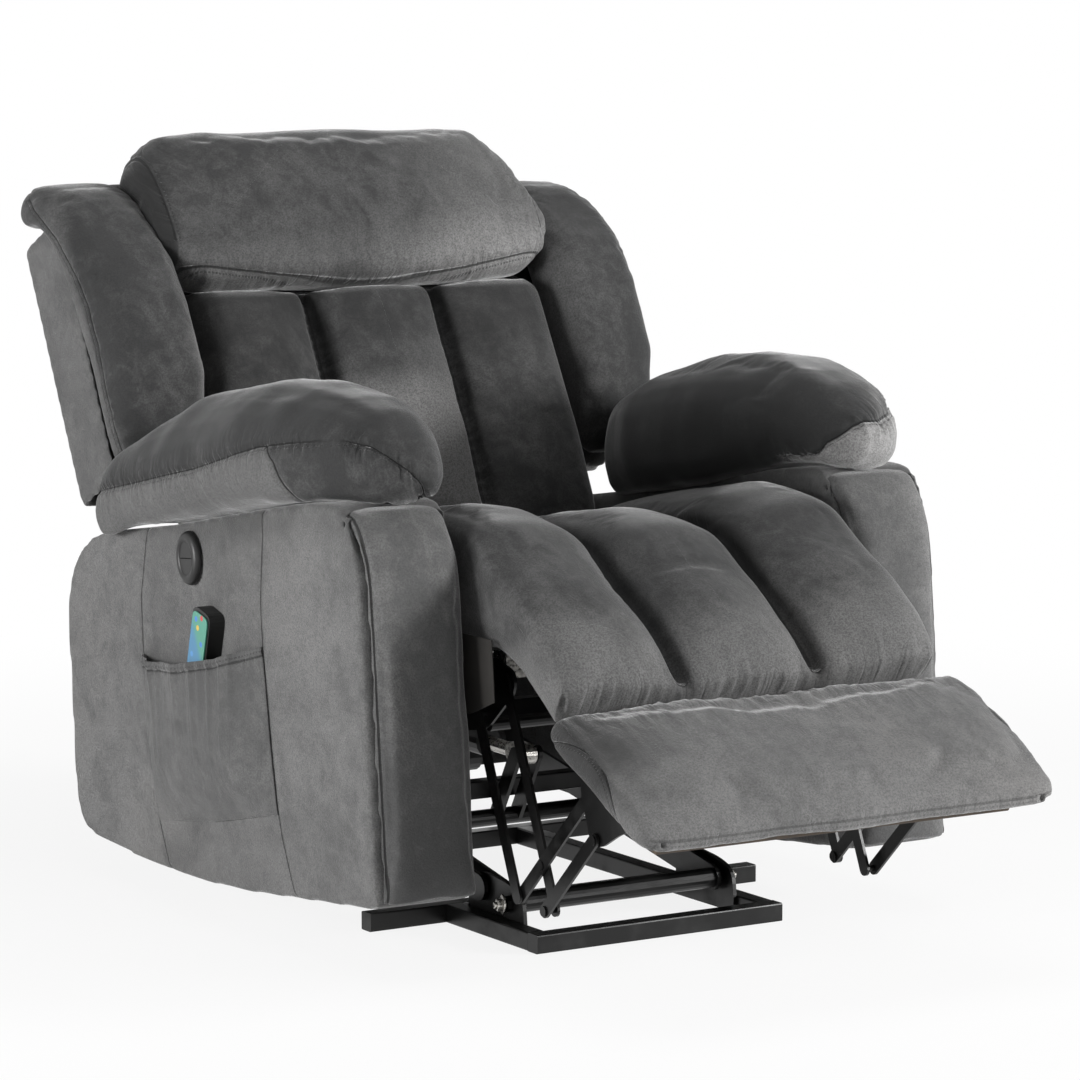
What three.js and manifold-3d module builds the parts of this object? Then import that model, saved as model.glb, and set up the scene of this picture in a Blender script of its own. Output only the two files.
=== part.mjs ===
// Lift recliner chair. Millimetres, X across the chair, Y to the back, Z up.
// Rest position: lift down, back partly reclined, footrest partly out.
import * as THREE from 'three';
import { mergeVertices } from 'three/addons/utils/BufferGeometryUtils.js';
import Module from 'manifold-3d';

const wasm = await Module();
wasm.setup();

// ---------------------------------------------------------------- driving dimensions
const runGap = 0.3;                // between pieces that touch or turn on each other
const seatWidth = 594;             // cushions, between the arms
const armGap = 2;                  // cushion side to arm
const armWidth = 152;              // upholstered arm box
const channelWidth = 210;          // middle channel of seat and back
const seatRear = 185;
const seatNose = { y: -383, z: 480 };  // where the seat cushion ends over the nose
const seatNoseRise = 33;           // underside of the nose, behind its face
const seatCrown = 26;              // height of the middle channel over the creases
const seatOuterFill = 1.55;        // the outer channels are fuller
const seatEdge = 4;                // fall at the sides, below the crease

const bodyTilt = 5.69;             // degrees, whole body leans back
const armFoot = { y: -348, z: 87 };    // front bottom edge of the arms
const armHeight = 525;
const armDepth = 838;
const armTopDrop = 52;             // the arm top falls towards the back
const armHeelRise = 54;            // the bottom edge sweeps up at the back
const armNoseRadius = 105;

const padOverhang = 39;            // arm pad past the outer side of the arm
const padInset = 26;               // and past its inner side
const padLength = 708;
const padNoseInset = 34;           // outer side of the pad at its tip
const padNose = -22;               // pad tip, measured from the arm's front edge

const tube = 25;                   // square floor tube
const tubeCorner = 2;
const baseWidth = 389;
const baseFront = -336;
const baseRear = 330;
const outriggerReach = 117;        // past each side rail
const outriggerFront = -104;

const plateThickness = 5;
const liftPivotFront = { y: -225, z: 45 };
const liftPivotRear = { y: -158.7, z: 56 };
const carriagePivotFront = { y: 60, z: 100 };
const carriagePivotRear = { y: 300, z: 140 };
const liftPin = 6;                 // radius of the lift pivots
const crankPin = 5;                // and of the actuator's two pins
const liftArmHeight = 36;
const liftArmThickness = 6;
const torsionRadius = 14;
const driveRadius = 12;
const crankEnd = { y: 5, z: 195 };
const actuatorPivot = { y: 300, z: 200 };

const sidePlateX = 236;            // inner face of the mechanism side plates
const linkThickness = 4;
const linkPitch = 5;               // from one link layer to the next
const linkHalf = 9;                // half width of a footrest link
const rivet = 4;                   // radius of the rivet shanks
const rivetHead = 7;
const footrestPole = { y: -451, z: 477 };   // the footrest turns about this line
const bracketPivot = { y: -548, z: 252 };   // coupler pivot on the footrest bracket
const groundLink = { y: 115, z: -111 };     // from the pole to the long crank's pivot
const shortCrankShift = 0.45;      // short crank's place along the ground link
const longCrankReach = 1.24;       // long crank past its knee, as a share of its length

const seamLine = { y: -548.5, z: 364.5 };   // where chaise pad and bolster meet
const footrestSlope = 32.6;        // degrees below level
const bolsterLength = 262;
const bolsterHalf = 307;           // half width
const bolsterThickness = 58;       // at the seam
const bolsterTaper = 38;           // it thins by this much towards its free edge
const boardThickness = 12;
const boardWidth = 540;

const backLine = { y: 490, z: 482 };  // point low on the back's rear face
const backLean = 26.5;             // degrees from upright
const backTop = 505;               // along the back from that point
const backBottom = -190;
const shellWall = 12;
const shellDepth = 124;
const shellNarrow = 15;            // each side of the shell, inside the arm's outer face
const shellShoulder = 434;         // its sides end here, the middle goes on to the top
const shellHump = 342;             // half width of that middle part
const humpDepth = 74;              // middle part of the shell, behind the headrest
const shellSkirt = 32;             // where the full width of the shell starts
const frameDepth = 70;
const backPivot = { y: 290, z: 330 };
const creaseDepth = 202;           // crease plane of the back channels, from the rear face
const wingFoot = 104;
const wingTop = 492;
const headrestMiddle = 412;
const headrestHalfHeight = 134;
const headrestDepth = 162;         // its middle, forward of the back's rear face
const headrestHalfDepth = 74;
const headrestHalfWidth = 325;

const pocket = { front: 263, rear: 606, bottom: 93, top: 318, sheet: 3, bulge: 33 };
const handset = { width: 50, length: 165, thickness: 25, lean: 20, middle: 428, foot: 222 };
const switchPlace = { y: 436, z: armHeight - 79.6 };
const bezel = { width: 60, height: 74, depth: 12, wall: 13 };
const buttonTravel = 1.5;

const floorCentre = 29;            // moves the middle of the chair's box over the origin

// ---------------------------------------------------------------- derived places
const armInner = seatWidth / 2 + armGap;
const armOuter = armInner + armWidth;
const shellHalf = armOuter - shellNarrow;
const halfSeat = seatWidth / 2;
const halfChannel = channelWidth / 2;
const halfBase = baseWidth / 2;
const sides = [['left', -1], ['right', 1]];   // as seen from the front

// ---------------------------------------------------------------- materials
function finish(colour, roughness, metalness = 0) {
  return new THREE.MeshStandardMaterial({ color: colour, roughness, metalness });
}
const finishes = {
  velvet: () => finish(0x55565a, 0.92),
  sideVelvet: () => finish(0x5f5d5e, 0.9),
  blackSteel: () => finish(0x17181a, 0.42, 0.6),
  zinc: () => finish(0xb9bcc0, 0.35, 0.9),
  plywood: () => finish(0xb58d5e, 0.8),
  blackPlastic: () => finish(0x141517, 0.5),
  wire: () => finish(0x6c6f73, 0.4, 0.9),
  overlay: () => finish(0x2f8f86, 0.45),
};

// ---------------------------------------------------------------- geometry helpers
function toSolid(geometry) {
  const bare = geometry.clone();
  bare.deleteAttribute('normal');
  bare.deleteAttribute('uv');
  const merged = mergeVertices(bare, 1e-3);
  return new wasm.Manifold(new wasm.Mesh({
    numProp: 3,
    vertProperties: new Float32Array(merged.attributes.position.array),
    triVerts: new Uint32Array(merged.index.array),
  }));
}

function toGeometry(solid) {
  const mesh = solid.getMesh();
  const geometry = new THREE.BufferGeometry();
  geometry.setAttribute('position', new THREE.BufferAttribute(mesh.vertProperties, 3));
  geometry.setIndex(new THREE.BufferAttribute(mesh.triVerts, 1));
  return geometry;
}

const join = (...geometries) => toGeometry(
  geometries.map(toSolid).reduce((sum, next) => sum.add(next)));
const cut = (geometry, ...tools) => toGeometry(
  tools.map(toSolid).reduce((rest, tool) => rest.subtract(tool), toSolid(geometry)));

// Profile drawn in (Y, Z), pushed along X from x0 to x1.
function prismX(shape, x0, x1, curveSegments = 4) {
  const geometry = new THREE.ExtrudeGeometry(shape, {
    depth: Math.abs(x1 - x0), bevelEnabled: false, curveSegments,
  });
  geometry.applyMatrix4(new THREE.Matrix4().makeBasis(
    new THREE.Vector3(0, 1, 0), new THREE.Vector3(0, 0, 1), new THREE.Vector3(1, 0, 0)));
  return geometry.translate(Math.min(x0, x1), 0, 0);
}

// Profile drawn in (X, Z), pushed along Y from y0 to y1.
function prismY(shape, y0, y1, curveSegments = 5) {
  const geometry = new THREE.ExtrudeGeometry(shape, {
    depth: Math.abs(y1 - y0), bevelEnabled: false, curveSegments,
  });
  geometry.rotateX(Math.PI / 2);
  return geometry.translate(0, Math.max(y0, y1), 0);
}

function box(x0, x1, y0, y1, z0, z1) {
  return new THREE.BoxGeometry(Math.abs(x1 - x0), Math.abs(y1 - y0), Math.abs(z1 - z0))
    .translate((x0 + x1) / 2, (y0 + y1) / 2, (z0 + z1) / 2);
}

function cylinderX(x0, x1, place, radius, sections = 12) {
  return new THREE.CylinderGeometry(radius, radius, Math.abs(x1 - x0), sections)
    .rotateZ(-Math.PI / 2).translate((x0 + x1) / 2, place.y, place.z);
}

function roundedRectangle(a0, a1, b0, b1, radius) {
  return roundedOutline([[a0, b0], [a1, b0], [a1, b1], [a0, b1]], radius);
}

// Closed outline whose corners are rounded; a point may carry its own radius.
function roundedOutline(points, radius) {
  const shape = new THREE.Shape();
  const vectors = points.map(([a, b]) => new THREE.Vector2(a, b));
  vectors.forEach((corner, i) => {
    const before = vectors[(i + vectors.length - 1) % vectors.length];
    const after = vectors[(i + 1) % vectors.length];
    const own = points[i][2] ?? radius;
    const inReach = Math.min(own, corner.distanceTo(before) * 0.48);
    const outReach = Math.min(own, corner.distanceTo(after) * 0.48);
    const enter = corner.clone().lerp(before, inReach / corner.distanceTo(before));
    const leave = corner.clone().lerp(after, outReach / corner.distanceTo(after));
    if (i === 0) shape.moveTo(enter.x, enter.y);
    else shape.lineTo(enter.x, enter.y);
    shape.quadraticCurveTo(corner.x, corner.y, leave.x, leave.y);
  });
  shape.closePath();
  return shape;
}

// Round hole, drawn so that its flats, not its corners, lie at the radius.
function round(place, radius) {
  const corners = 14;
  return new THREE.Path(Array.from({ length: corners }, (_, i) => {
    const turn = (-i / corners) * Math.PI * 2;
    const reach = radius / Math.cos(Math.PI / corners);
    return new THREE.Vector2(place.y + reach * Math.cos(turn), place.z + reach * Math.sin(turn));
  }));
}

// Flat link with round ends through two or more pivots on one line.
function linkShape(a, b, half, holes = []) {
  const along = Math.atan2(b.z - a.z, b.y - a.y);
  const shape = new THREE.Shape();
  shape.absarc(b.y, b.z, half, along - Math.PI / 2, along + Math.PI / 2, false);
  shape.absarc(a.y, a.z, half, along + Math.PI / 2, along + Math.PI * 1.5, false);
  shape.closePath();
  holes.forEach(([place, radius]) => shape.holes.push(round(place, radius)));
  return shape;
}

// Closed body through rings of equal count; each end closes to the middle of its ring.
function loft(rings) {
  const count = rings[0].length;
  const points = rings.flat();
  const middle = (ring) => ring.reduce((sum, p) => sum.add(p), new THREE.Vector3())
    .divideScalar(ring.length);
  points.push(middle(rings[0]), middle(rings[rings.length - 1]));
  const first = points.length - 2;
  const index = [];
  for (let r = 0; r < rings.length - 1; r += 1) {
    for (let i = 0; i < count; i += 1) {
      const j = (i + 1) % count;
      const [a, b, c, d] = [r * count + i, r * count + j, (r + 1) * count + j, (r + 1) * count + i];
      index.push(a, b, c, a, c, d);
    }
  }
  const last = (rings.length - 1) * count;
  for (let i = 0; i < count; i += 1) {
    const j = (i + 1) % count;
    index.push(first, j, i, first + 1, last + i, last + j);
  }
  const geometry = new THREE.BufferGeometry();
  geometry.setAttribute('position', new THREE.Float32BufferAttribute(
    points.flatMap((p) => [p.x, p.y, p.z]), 3));
  geometry.setIndex(index);
  if (toSolid(geometry).volume() < 0) geometry.setIndex(index.reverse());
  return geometry;
}

const point = (x, y, z) => new THREE.Vector3(x, y, z);
const mix = (a, b, t) => a + (b - a) * t;
const signedPower = (value, power) => Math.sign(value) * Math.abs(value) ** power;

// Ring of a rounded box section: square-ness 2 is an ellipse, more is boxier.
function rounded(count, squareness, place) {
  return Array.from({ length: count }, (_, i) => {
    const turn = (i / count) * Math.PI * 2;
    return place(
      signedPower(Math.cos(turn), 2 / squareness),
      signedPower(Math.sin(turn), 2 / squareness));
  });
}

// Smooth curve through rows of [share, value...] that never swings past its values.
function track(rows) {
  const slope = (k, i) => (rows[i + 1][k] - rows[i][k]) / (rows[i + 1][0] - rows[i][0]);
  const tangent = (k, i) => {
    if (i === 0) return slope(k, 0);
    if (i === rows.length - 1) return slope(k, i - 1);
    const [before, after] = [slope(k, i - 1), slope(k, i)];
    return before * after <= 0 ? 0 : (2 * before * after) / (before + after);
  };
  return (share) => {
    const next = rows.findIndex((row, n) => n > 0 && row[0] >= share - 1e-9);
    const i = (next < 0 ? rows.length - 1 : next) - 1;
    const span = rows[i + 1][0] - rows[i][0];
    const t = (share - rows[i][0]) / span;
    return rows[0].slice(1).map((_, n) => {
      const k = n + 1;
      return rows[i][k] * (1 + 2 * t) * (1 - t) ** 2 + rows[i + 1][k] * (3 - 2 * t) * t ** 2
        + tangent(k, i) * span * t * (1 - t) ** 2 - tangent(k, i + 1) * span * t ** 2 * (1 - t);
    });
  };
}

// Height of a channelled face over its crease plane, across the width.
// The outer channels can be fuller than the middle one.
function channelRise(x, crown, edge, outerFill = 1) {
  const away = Math.abs(x);
  if (away <= halfChannel) return crown * Math.cos((away / halfChannel) * Math.PI / 2) ** 0.55;
  const share = (away - halfChannel) / (halfSeat - halfChannel);
  const swell = crown * outerFill * Math.sin(Math.min(1, share * 1.25) * Math.PI / 2) ** 0.55;
  const fall = Math.max(0, (share - 0.72) / 0.28);
  return swell - (crown + edge) * (1 - Math.sqrt(Math.max(0, 1 - fall ** 2.2)));
}

// Places across the face where a ring has its points, close together at the creases.
const faceSteps = (() => {
  const half = [0, 0.45, 0.8, 1].map((s) => s * halfChannel);
  const outer = [0.12, 0.35, 0.62, 0.8, 0.93, 1].map((s) => mix(halfChannel, halfSeat, s));
  const right = [...half, ...outer];
  return [...right.slice(1).reverse().map((x) => -x), ...right];
})();

// Station of a channelled pad: face point, underside point, crown height, edge fall.
function padRing(face, under, crown, edge, narrow = 0) {
  const up = point(0, face.y - under.y, face.z - under.z).normalize();
  const squeeze = (x) => x * (1 - narrow / halfSeat);
  const top = faceSteps.map((x) => {
    const rise = channelRise(x, crown, edge, seatOuterFill);
    return point(squeeze(x), face.y + up.y * rise, face.z + up.z * rise);
  });
  const drawn = 0.965;
  const bottom = [1, 0.55, 0, -0.55, -1].map((s) => point(
    squeeze(s * halfSeat * drawn), under.y, under.z));
  return [...top, ...bottom];
}

const group = new THREE.Group();
const chair = new THREE.Group();
group.add(chair);
chair.position.y = floorCentre;
const tilted = new THREE.Group();
tilted.position.set(0, armFoot.y, armFoot.z);
tilted.rotation.x = -THREE.MathUtils.degToRad(bodyTilt);
chair.add(tilted);
const reclined = new THREE.Group();
reclined.position.set(0, backLine.y, backLine.z);
reclined.rotation.x = -THREE.MathUtils.degToRad(backLean);
chair.add(reclined);   // in here +Z runs up the back and -Y is its front

function place(name, geometry, look, parent = chair) {
  const mesh = new THREE.Mesh(geometry, finishes[look]());
  mesh.name = name;
  parent.add(mesh);
  return mesh;
}

// ---------------------------------------------------------------- floor frame
// Layers of the lift linkage, outwards from the middle of the chair.
const railInner = halfBase - tube;
const basePlateX = railInner - plateThickness;
const frontArmX = basePlateX - 6 - liftArmThickness;
const rearArmX = railInner + 3;

function floorFrame() {
  const section = (a, b) => roundedRectangle(a, a + tube, b, b + tube, tubeCorner);
  const halfOutrigger = halfBase + outriggerReach;
  place('base_front_bar', prismX(section(baseFront, 0), -halfBase, halfBase, 2), 'blackSteel');
  place('base_wide_bar', prismX(section(outriggerFront, 0), -halfOutrigger, halfOutrigger, 2),
    'blackSteel');
  place('base_rear_bar', prismX(section(baseRear - tube, 0), -halfOutrigger, halfOutrigger, 2),
    'blackSteel');
  for (const [side, sign] of sides) {
    const inner = sign > 0 ? halfBase - tube : -halfBase;
    const rail = (y0, y1) => prismY(section(inner, 0), y0 + runGap, y1 - runGap, 2);
    place(`base_front_rail_${side}`, join(
      rail(baseFront + tube, outriggerFront), pivotPlate(sign)), 'blackSteel');
    place(`base_rear_rail_${side}`, rail(outriggerFront + tube, baseRear - tube), 'blackSteel');
  }
}

// Upright plate welded to the inner side of a rail, with the two lift pivots.
function pivotPlate(sign) {
  const outline = roundedOutline([
    [liftPivotFront.y - 40, 3], [liftPivotRear.y + 40, 3],
    [liftPivotRear.y + 34, liftPivotRear.z + 12], [liftPivotRear.y, liftPivotRear.z + 22],
    [liftPivotFront.y, liftPivotFront.z + 26], [liftPivotFront.y - 34, liftPivotFront.z + 14],
  ], 18);
  outline.holes.push(round(liftPivotFront, liftPin + runGap));
  outline.holes.push(round(liftPivotRear, liftPin + runGap));
  return prismX(outline, sign * basePlateX, sign * (railInner + 0.5), 4);
}

function liftLinkage() {
  for (const [side, sign] of sides) {
    const span = (a, b) => [sign * a, sign * b];
    // front arm: flat bar, with the bolt that turns in the base plate
    const frontBar = linkShape(liftPivotFront, carriagePivotFront, liftArmHeight / 2,
      [[carriagePivotFront, driveRadius + runGap]]);
    const boltEnd = railInner + 0.5;
    place(`lift_arm_front_${side}`, join(
      prismX(frontBar, ...span(frontArmX, frontArmX + liftArmThickness)),
      cylinderX(...span(frontArmX + 1, boltEnd + 8), liftPivotFront, liftPin),
      cylinderX(...span(boltEnd + runGap, boltEnd + 7), liftPivotFront, liftPin * 1.8, 6),
    ), 'blackSteel');

    // rear arm: outside the plate, opened with clearance where it meets the carriage
    const rearBar = linkShape(liftPivotRear, carriagePivotRear, liftArmHeight / 2);
    place(`lift_arm_rear_${side}`, join(
      prismX(rearBar, ...span(rearArmX, rearArmX + liftArmThickness)),
      cylinderX(...span(basePlateX - 1, rearArmX + 1), liftPivotRear, liftPin),
      cylinderX(...span(basePlateX - 5, basePlateX - runGap), liftPivotRear, liftPin * 1.5, 6),
      cylinderX(...span(rearArmX - 9, rearArmX + 1), carriagePivotRear, liftPin),
    ), 'blackSteel');
  }
  const torsionReach = frontArmX - runGap;
  place('lift_torsion_tube',
    cylinderX(-torsionReach, torsionReach, liftPivotFront, torsionRadius, 20), 'blackSteel');

  // drive tube between the front arms, with the crank that the actuator pushes
  const lug = (x) => prismX(linkShape(carriagePivotFront, crankEnd, 12), x, x + 6);
  const driveReach = frontArmX + liftArmThickness + 2;
  place('lift_drive_tube', join(
    cylinderX(-driveReach, driveReach, carriagePivotFront, driveRadius, 20),
    lug(14), lug(-20), cylinderX(-19, 19, crankEnd, crankPin),
  ), 'blackSteel');
}

// ---------------------------------------------------------------- carriage
const carriageFront = { y: 76, z: 139 };
const carriageRear = { y: 330, z: 200 };
const frontHangerX = frontArmX - 3 - plateThickness;
const rearHangerX = rearArmX - 3 - plateThickness;
const pivotSlack = 2.5;            // clearance of the opened pivots

function carriage() {
  const bar = (at) => prismX(roundedRectangle(at.y - tube / 2, at.y + tube / 2,
    at.z - tube / 2, at.z + tube / 2, tubeCorner), -sidePlateX + runGap, sidePlateX - runGap, 2);
  const hanger = (at, pivot, x, hole) => prismX(
    linkShape(at, pivot, hole + 8, [[pivot, hole]]), x, x + plateThickness);
  const both = (make) => [make(1), make(-1)];
  const mirrored = (x) => (sign) => (sign > 0 ? x : -x - plateThickness);
  place('carriage_front_bar', join(bar(carriageFront), ...both((sign) => hanger(
    carriageFront, carriagePivotFront, mirrored(frontHangerX)(sign), driveRadius + runGap))),
  'blackSteel');
  place('carriage_rear_bar', join(bar(carriageRear),
    ...both((sign) => hanger(carriageRear, carriagePivotRear, mirrored(rearHangerX)(sign),
      liftPin + pivotSlack)),
    ...both((sign) => hanger(carriageRear, actuatorPivot, mirrored(15)(sign), crankPin + runGap))),
  'blackSteel');
}

// ---------------------------------------------------------------- lift actuator
function actuator() {
  const rodRadius = 10;
  const axis = Math.atan2(crankEnd.z - actuatorPivot.z, crankEnd.y - actuatorPivot.y);
  const reach = Math.hypot(crankEnd.z - actuatorPivot.z, crankEnd.y - actuatorPivot.y);
  const frame = new THREE.Group();
  frame.position.set(0, actuatorPivot.y, actuatorPivot.z);
  frame.rotation.x = axis;         // +Y of this group runs from the pivot to the rod end
  chair.add(frame);
  const along = (y0, y1, radius, sections = 16) => new THREE.CylinderGeometry(
    radius, radius, y1 - y0, sections).translate(0, (y0 + y1) / 2, 0);
  const body = join(
    prismX(linkShape({ y: 0, z: 0 }, { y: 34, z: 0 }, 14), -11, 11),
    prismX(roundedRectangle(22, 78, -26, 30, 9), -26, 26, 3),
    along(70, 195, 20),
    cylinderX(-30, 62, { y: 52, z: 42 }, 27, 18),
    cylinderX(-14.7, 14.7, { y: 0, z: 0 }, 7),
  );
  const pin = cylinderX(-24, 24, { y: 0, z: 0 }, crankPin);
  const bore = along(90, 200, rodRadius + 1.5 * runGap);
  place('actuator_housing', cut(join(body, pin), bore), 'blackPlastic', frame);
  const eye = linkShape({ y: reach - 26, z: 0 }, { y: reach, z: 0 }, 14,
    [[{ y: reach, z: 0 }, crankPin + pivotSlack + 0.5]]);
  place('actuator_rod', join(along(105, reach - 20, rodRadius), prismX(eye, -10, 10)), 'zinc',
    frame);
}

// ---------------------------------------------------------------- footrest linkage
const add = (a, b, share = 1) => ({ y: a.y + b.y * share, z: a.z + b.z * share });
const minus = (a, b) => ({ y: a.y - b.y, z: a.z - b.z });
const crankVector = minus(bracketPivot, footrestPole);
const longPivot = add(footrestPole, groundLink);
const knee = add(longPivot, crankVector);
const shortPivot = add(longPivot, groundLink, shortCrankShift);
const shortKnee = add(knee, groundLink, shortCrankShift);
const longEnd = add(longPivot, crankVector, longCrankReach);
const bracketLower = minus(longEnd, groundLink);

// Places on the footrest: along its slope from the seam, and above that line.
const slope = THREE.MathUtils.degToRad(footrestSlope);
const onFootrest = (along, above) => ({
  y: seamLine.y - Math.cos(slope) * along - Math.sin(slope) * above,
  z: seamLine.z - Math.sin(slope) * along + Math.cos(slope) * above,
});

const bolsterUnder = (along) => -bolsterThickness + (bolsterTaper * along) / bolsterLength;
const boardTop = (along) => bolsterUnder(along) - runGap;
const boardUnder = (along) => boardTop(along) - boardThickness - runGap;

function footrestLinkage() {
  const layer = (n) => sidePlateX + n * linkPitch;
  const hole = (at) => [at, rivet + runGap];
  for (const [side, sign] of sides) {
    const slab = (shape, n) => prismX(shape, sign * layer(n),
      sign * (layer(n) + linkThickness), 4);
    const shank = (a, b, at, radius = rivet, sections = 10) => cylinderX(
      sign * a, sign * b, at, radius, sections);
    const head = (x, at) => shank(x, x + 2, at, rivetHead);

    const plate = roundedOutline([
      [longPivot.y - 17, longPivot.z + 12], [longPivot.y - 17, longPivot.z - 14],
      [shortPivot.y, shortPivot.z - 22], [-120, 268],
      [carriageFront.y - 44, carriageFront.z - 24], [carriageFront.y + 30, carriageFront.z - 26],
      [190, 200], [carriageRear.y - 30, carriageRear.z - 28],
      [carriageRear.y + 24, carriageRear.z - 20], [carriageRear.y + 24, 262],
      [backPivot.y + 26, backPivot.z + 16], [backPivot.y, backPivot.z + 26],
      [backPivot.y - 40, backPivot.z + 12], [140, 326], [-100, 362], [-300, 392],
    ], 16);
    plate.holes.push(round(longPivot, rivet + runGap), round(shortPivot, rivet + runGap),
      round(backPivot, liftPin + runGap));
    plate.holes.push(roundedOutline([[-40, 320], [-60, 268], [60, 200], [84, 300]], 24),
      roundedOutline([[130, 292], [128, 226], [206, 232], [222, 286]], 20));
    place(`side_plate_${side}`, slab(plate, 0), 'blackSteel');

    place(`footrest_long_crank_${side}`, join(
      slab(linkShape(longPivot, longEnd, linkHalf), 1),
      shank(layer(0) - 1, layer(1) + 1, longPivot), head(layer(0) - 2 - runGap, longPivot),
      shank(layer(1) + 3, layer(2) + linkThickness + 1, knee),
      head(layer(2) + linkThickness + runGap, knee),
      shank(layer(1) + 3, layer(4) + linkThickness + 1, longEnd),
      head(layer(4) + linkThickness + runGap, longEnd),
    ), 'blackSteel');

    place(`footrest_short_crank_${side}`, join(
      slab(linkShape(shortPivot, shortKnee, linkHalf), 3),
      shank(layer(0) - 1, layer(3) + 1, shortPivot), head(layer(0) - 2 - runGap, shortPivot),
      shank(layer(2) - 1, layer(3) + 1, shortKnee),
      head(layer(2) - 2 - runGap, shortKnee),
    ), 'blackSteel');

    place(`footrest_upper_coupler_${side}`, slab(linkShape(shortKnee, bracketPivot, linkHalf,
      [hole(shortKnee), hole(knee), hole(bracketPivot)]), 2), 'blackSteel');
    place(`footrest_lower_coupler_${side}`, slab(linkShape(longEnd, bracketLower, linkHalf,
      [hole(longEnd), hole(bracketLower)]), 4), 'blackSteel');

    const corners = [onFootrest(22, boardUnder(22)), onFootrest(150, boardUnder(150) - 30),
      onFootrest(190, boardUnder(190))];
    const bracket = roundedOutline([
      [corners[0].y, corners[0].z, 2],
      [bracketPivot.y + 12, bracketPivot.z - 4, 12],
      [bracketLower.y + 12, bracketLower.z - 10, 12],
      [bracketLower.y - 12, bracketLower.z - 8, 12],
      [corners[1].y, corners[1].z, 20],
      [corners[2].y, corners[2].z, 2],
    ], 10);
    place(`footrest_bracket_${side}`, join(
      slab(bracket, 3),
      shank(layer(2) - 1, layer(3) + 1, bracketPivot),
      head(layer(2) - 2 - runGap, bracketPivot),
      shank(layer(3) + 1, layer(4) + linkThickness + 1, bracketLower),
      head(layer(4) + linkThickness + runGap, bracketLower),
    ), 'blackSteel');
  }
  const bracketFace = layer(3) - runGap;
  place('footrest_cross_tube', cylinderX(-bracketFace, bracketFace,
    onFootrest(128, boardUnder(128) - 14), 8, 14), 'blackSteel');
  place('mechanism_cross_tube', cylinderX(-sidePlateX + runGap, sidePlateX - runGap,
    { y: shortPivot.y + 2, z: shortPivot.z - 4 - 12 }, 9, 14), 'blackSteel');
}

// ---------------------------------------------------------------- seat deck
const seatFrontRail = { y: -326, z: 366 };
const seatRearRail = { y: 150, z: 326 };
const railDepth = 32;
const railHeight = 34;
const springWire = 2;

function seatDeck() {
  const railX = sidePlateX - runGap;
  const rail = (at) => box(-railX, railX, at.y, at.y + railDepth, at.z, at.z + railHeight);
  const start = { y: seatFrontRail.y + railDepth * 0.7, z: seatFrontRail.z + railHeight - 1 };
  const end = { y: seatRearRail.y + railDepth * 0.3, z: seatRearRail.z + railHeight - 1 };
  const bends = 5;
  const springs = [-165, -55, 55, 165].map((x) => {
    const points = Array.from({ length: bends * 2 + 2 }, (_, i) => {
      const share = i / (bends * 2 + 1);
      const across = [-22, 22, 22, -22][i % 4];
      return point(x + across, mix(start.y, end.y, share),
        mix(start.z, end.z, share) - 14 * Math.sin(share * Math.PI));
    });
    const section = new THREE.Shape(Array.from({ length: 5 }, (_, i) => new THREE.Vector2(
      springWire * Math.cos((i / 5) * Math.PI * 2), springWire * Math.sin((i / 5) * Math.PI * 2))));
    return new THREE.ExtrudeGeometry(section, {
      steps: bends * 5, bevelEnabled: false,
      extrudePath: new THREE.CatmullRomCurve3(points, false, 'catmullrom', 0.3),
    });
  });
  place('seat_spring_deck', join(rail(seatFrontRail), rail(seatRearRail), ...springs), 'wire');
}

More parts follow.
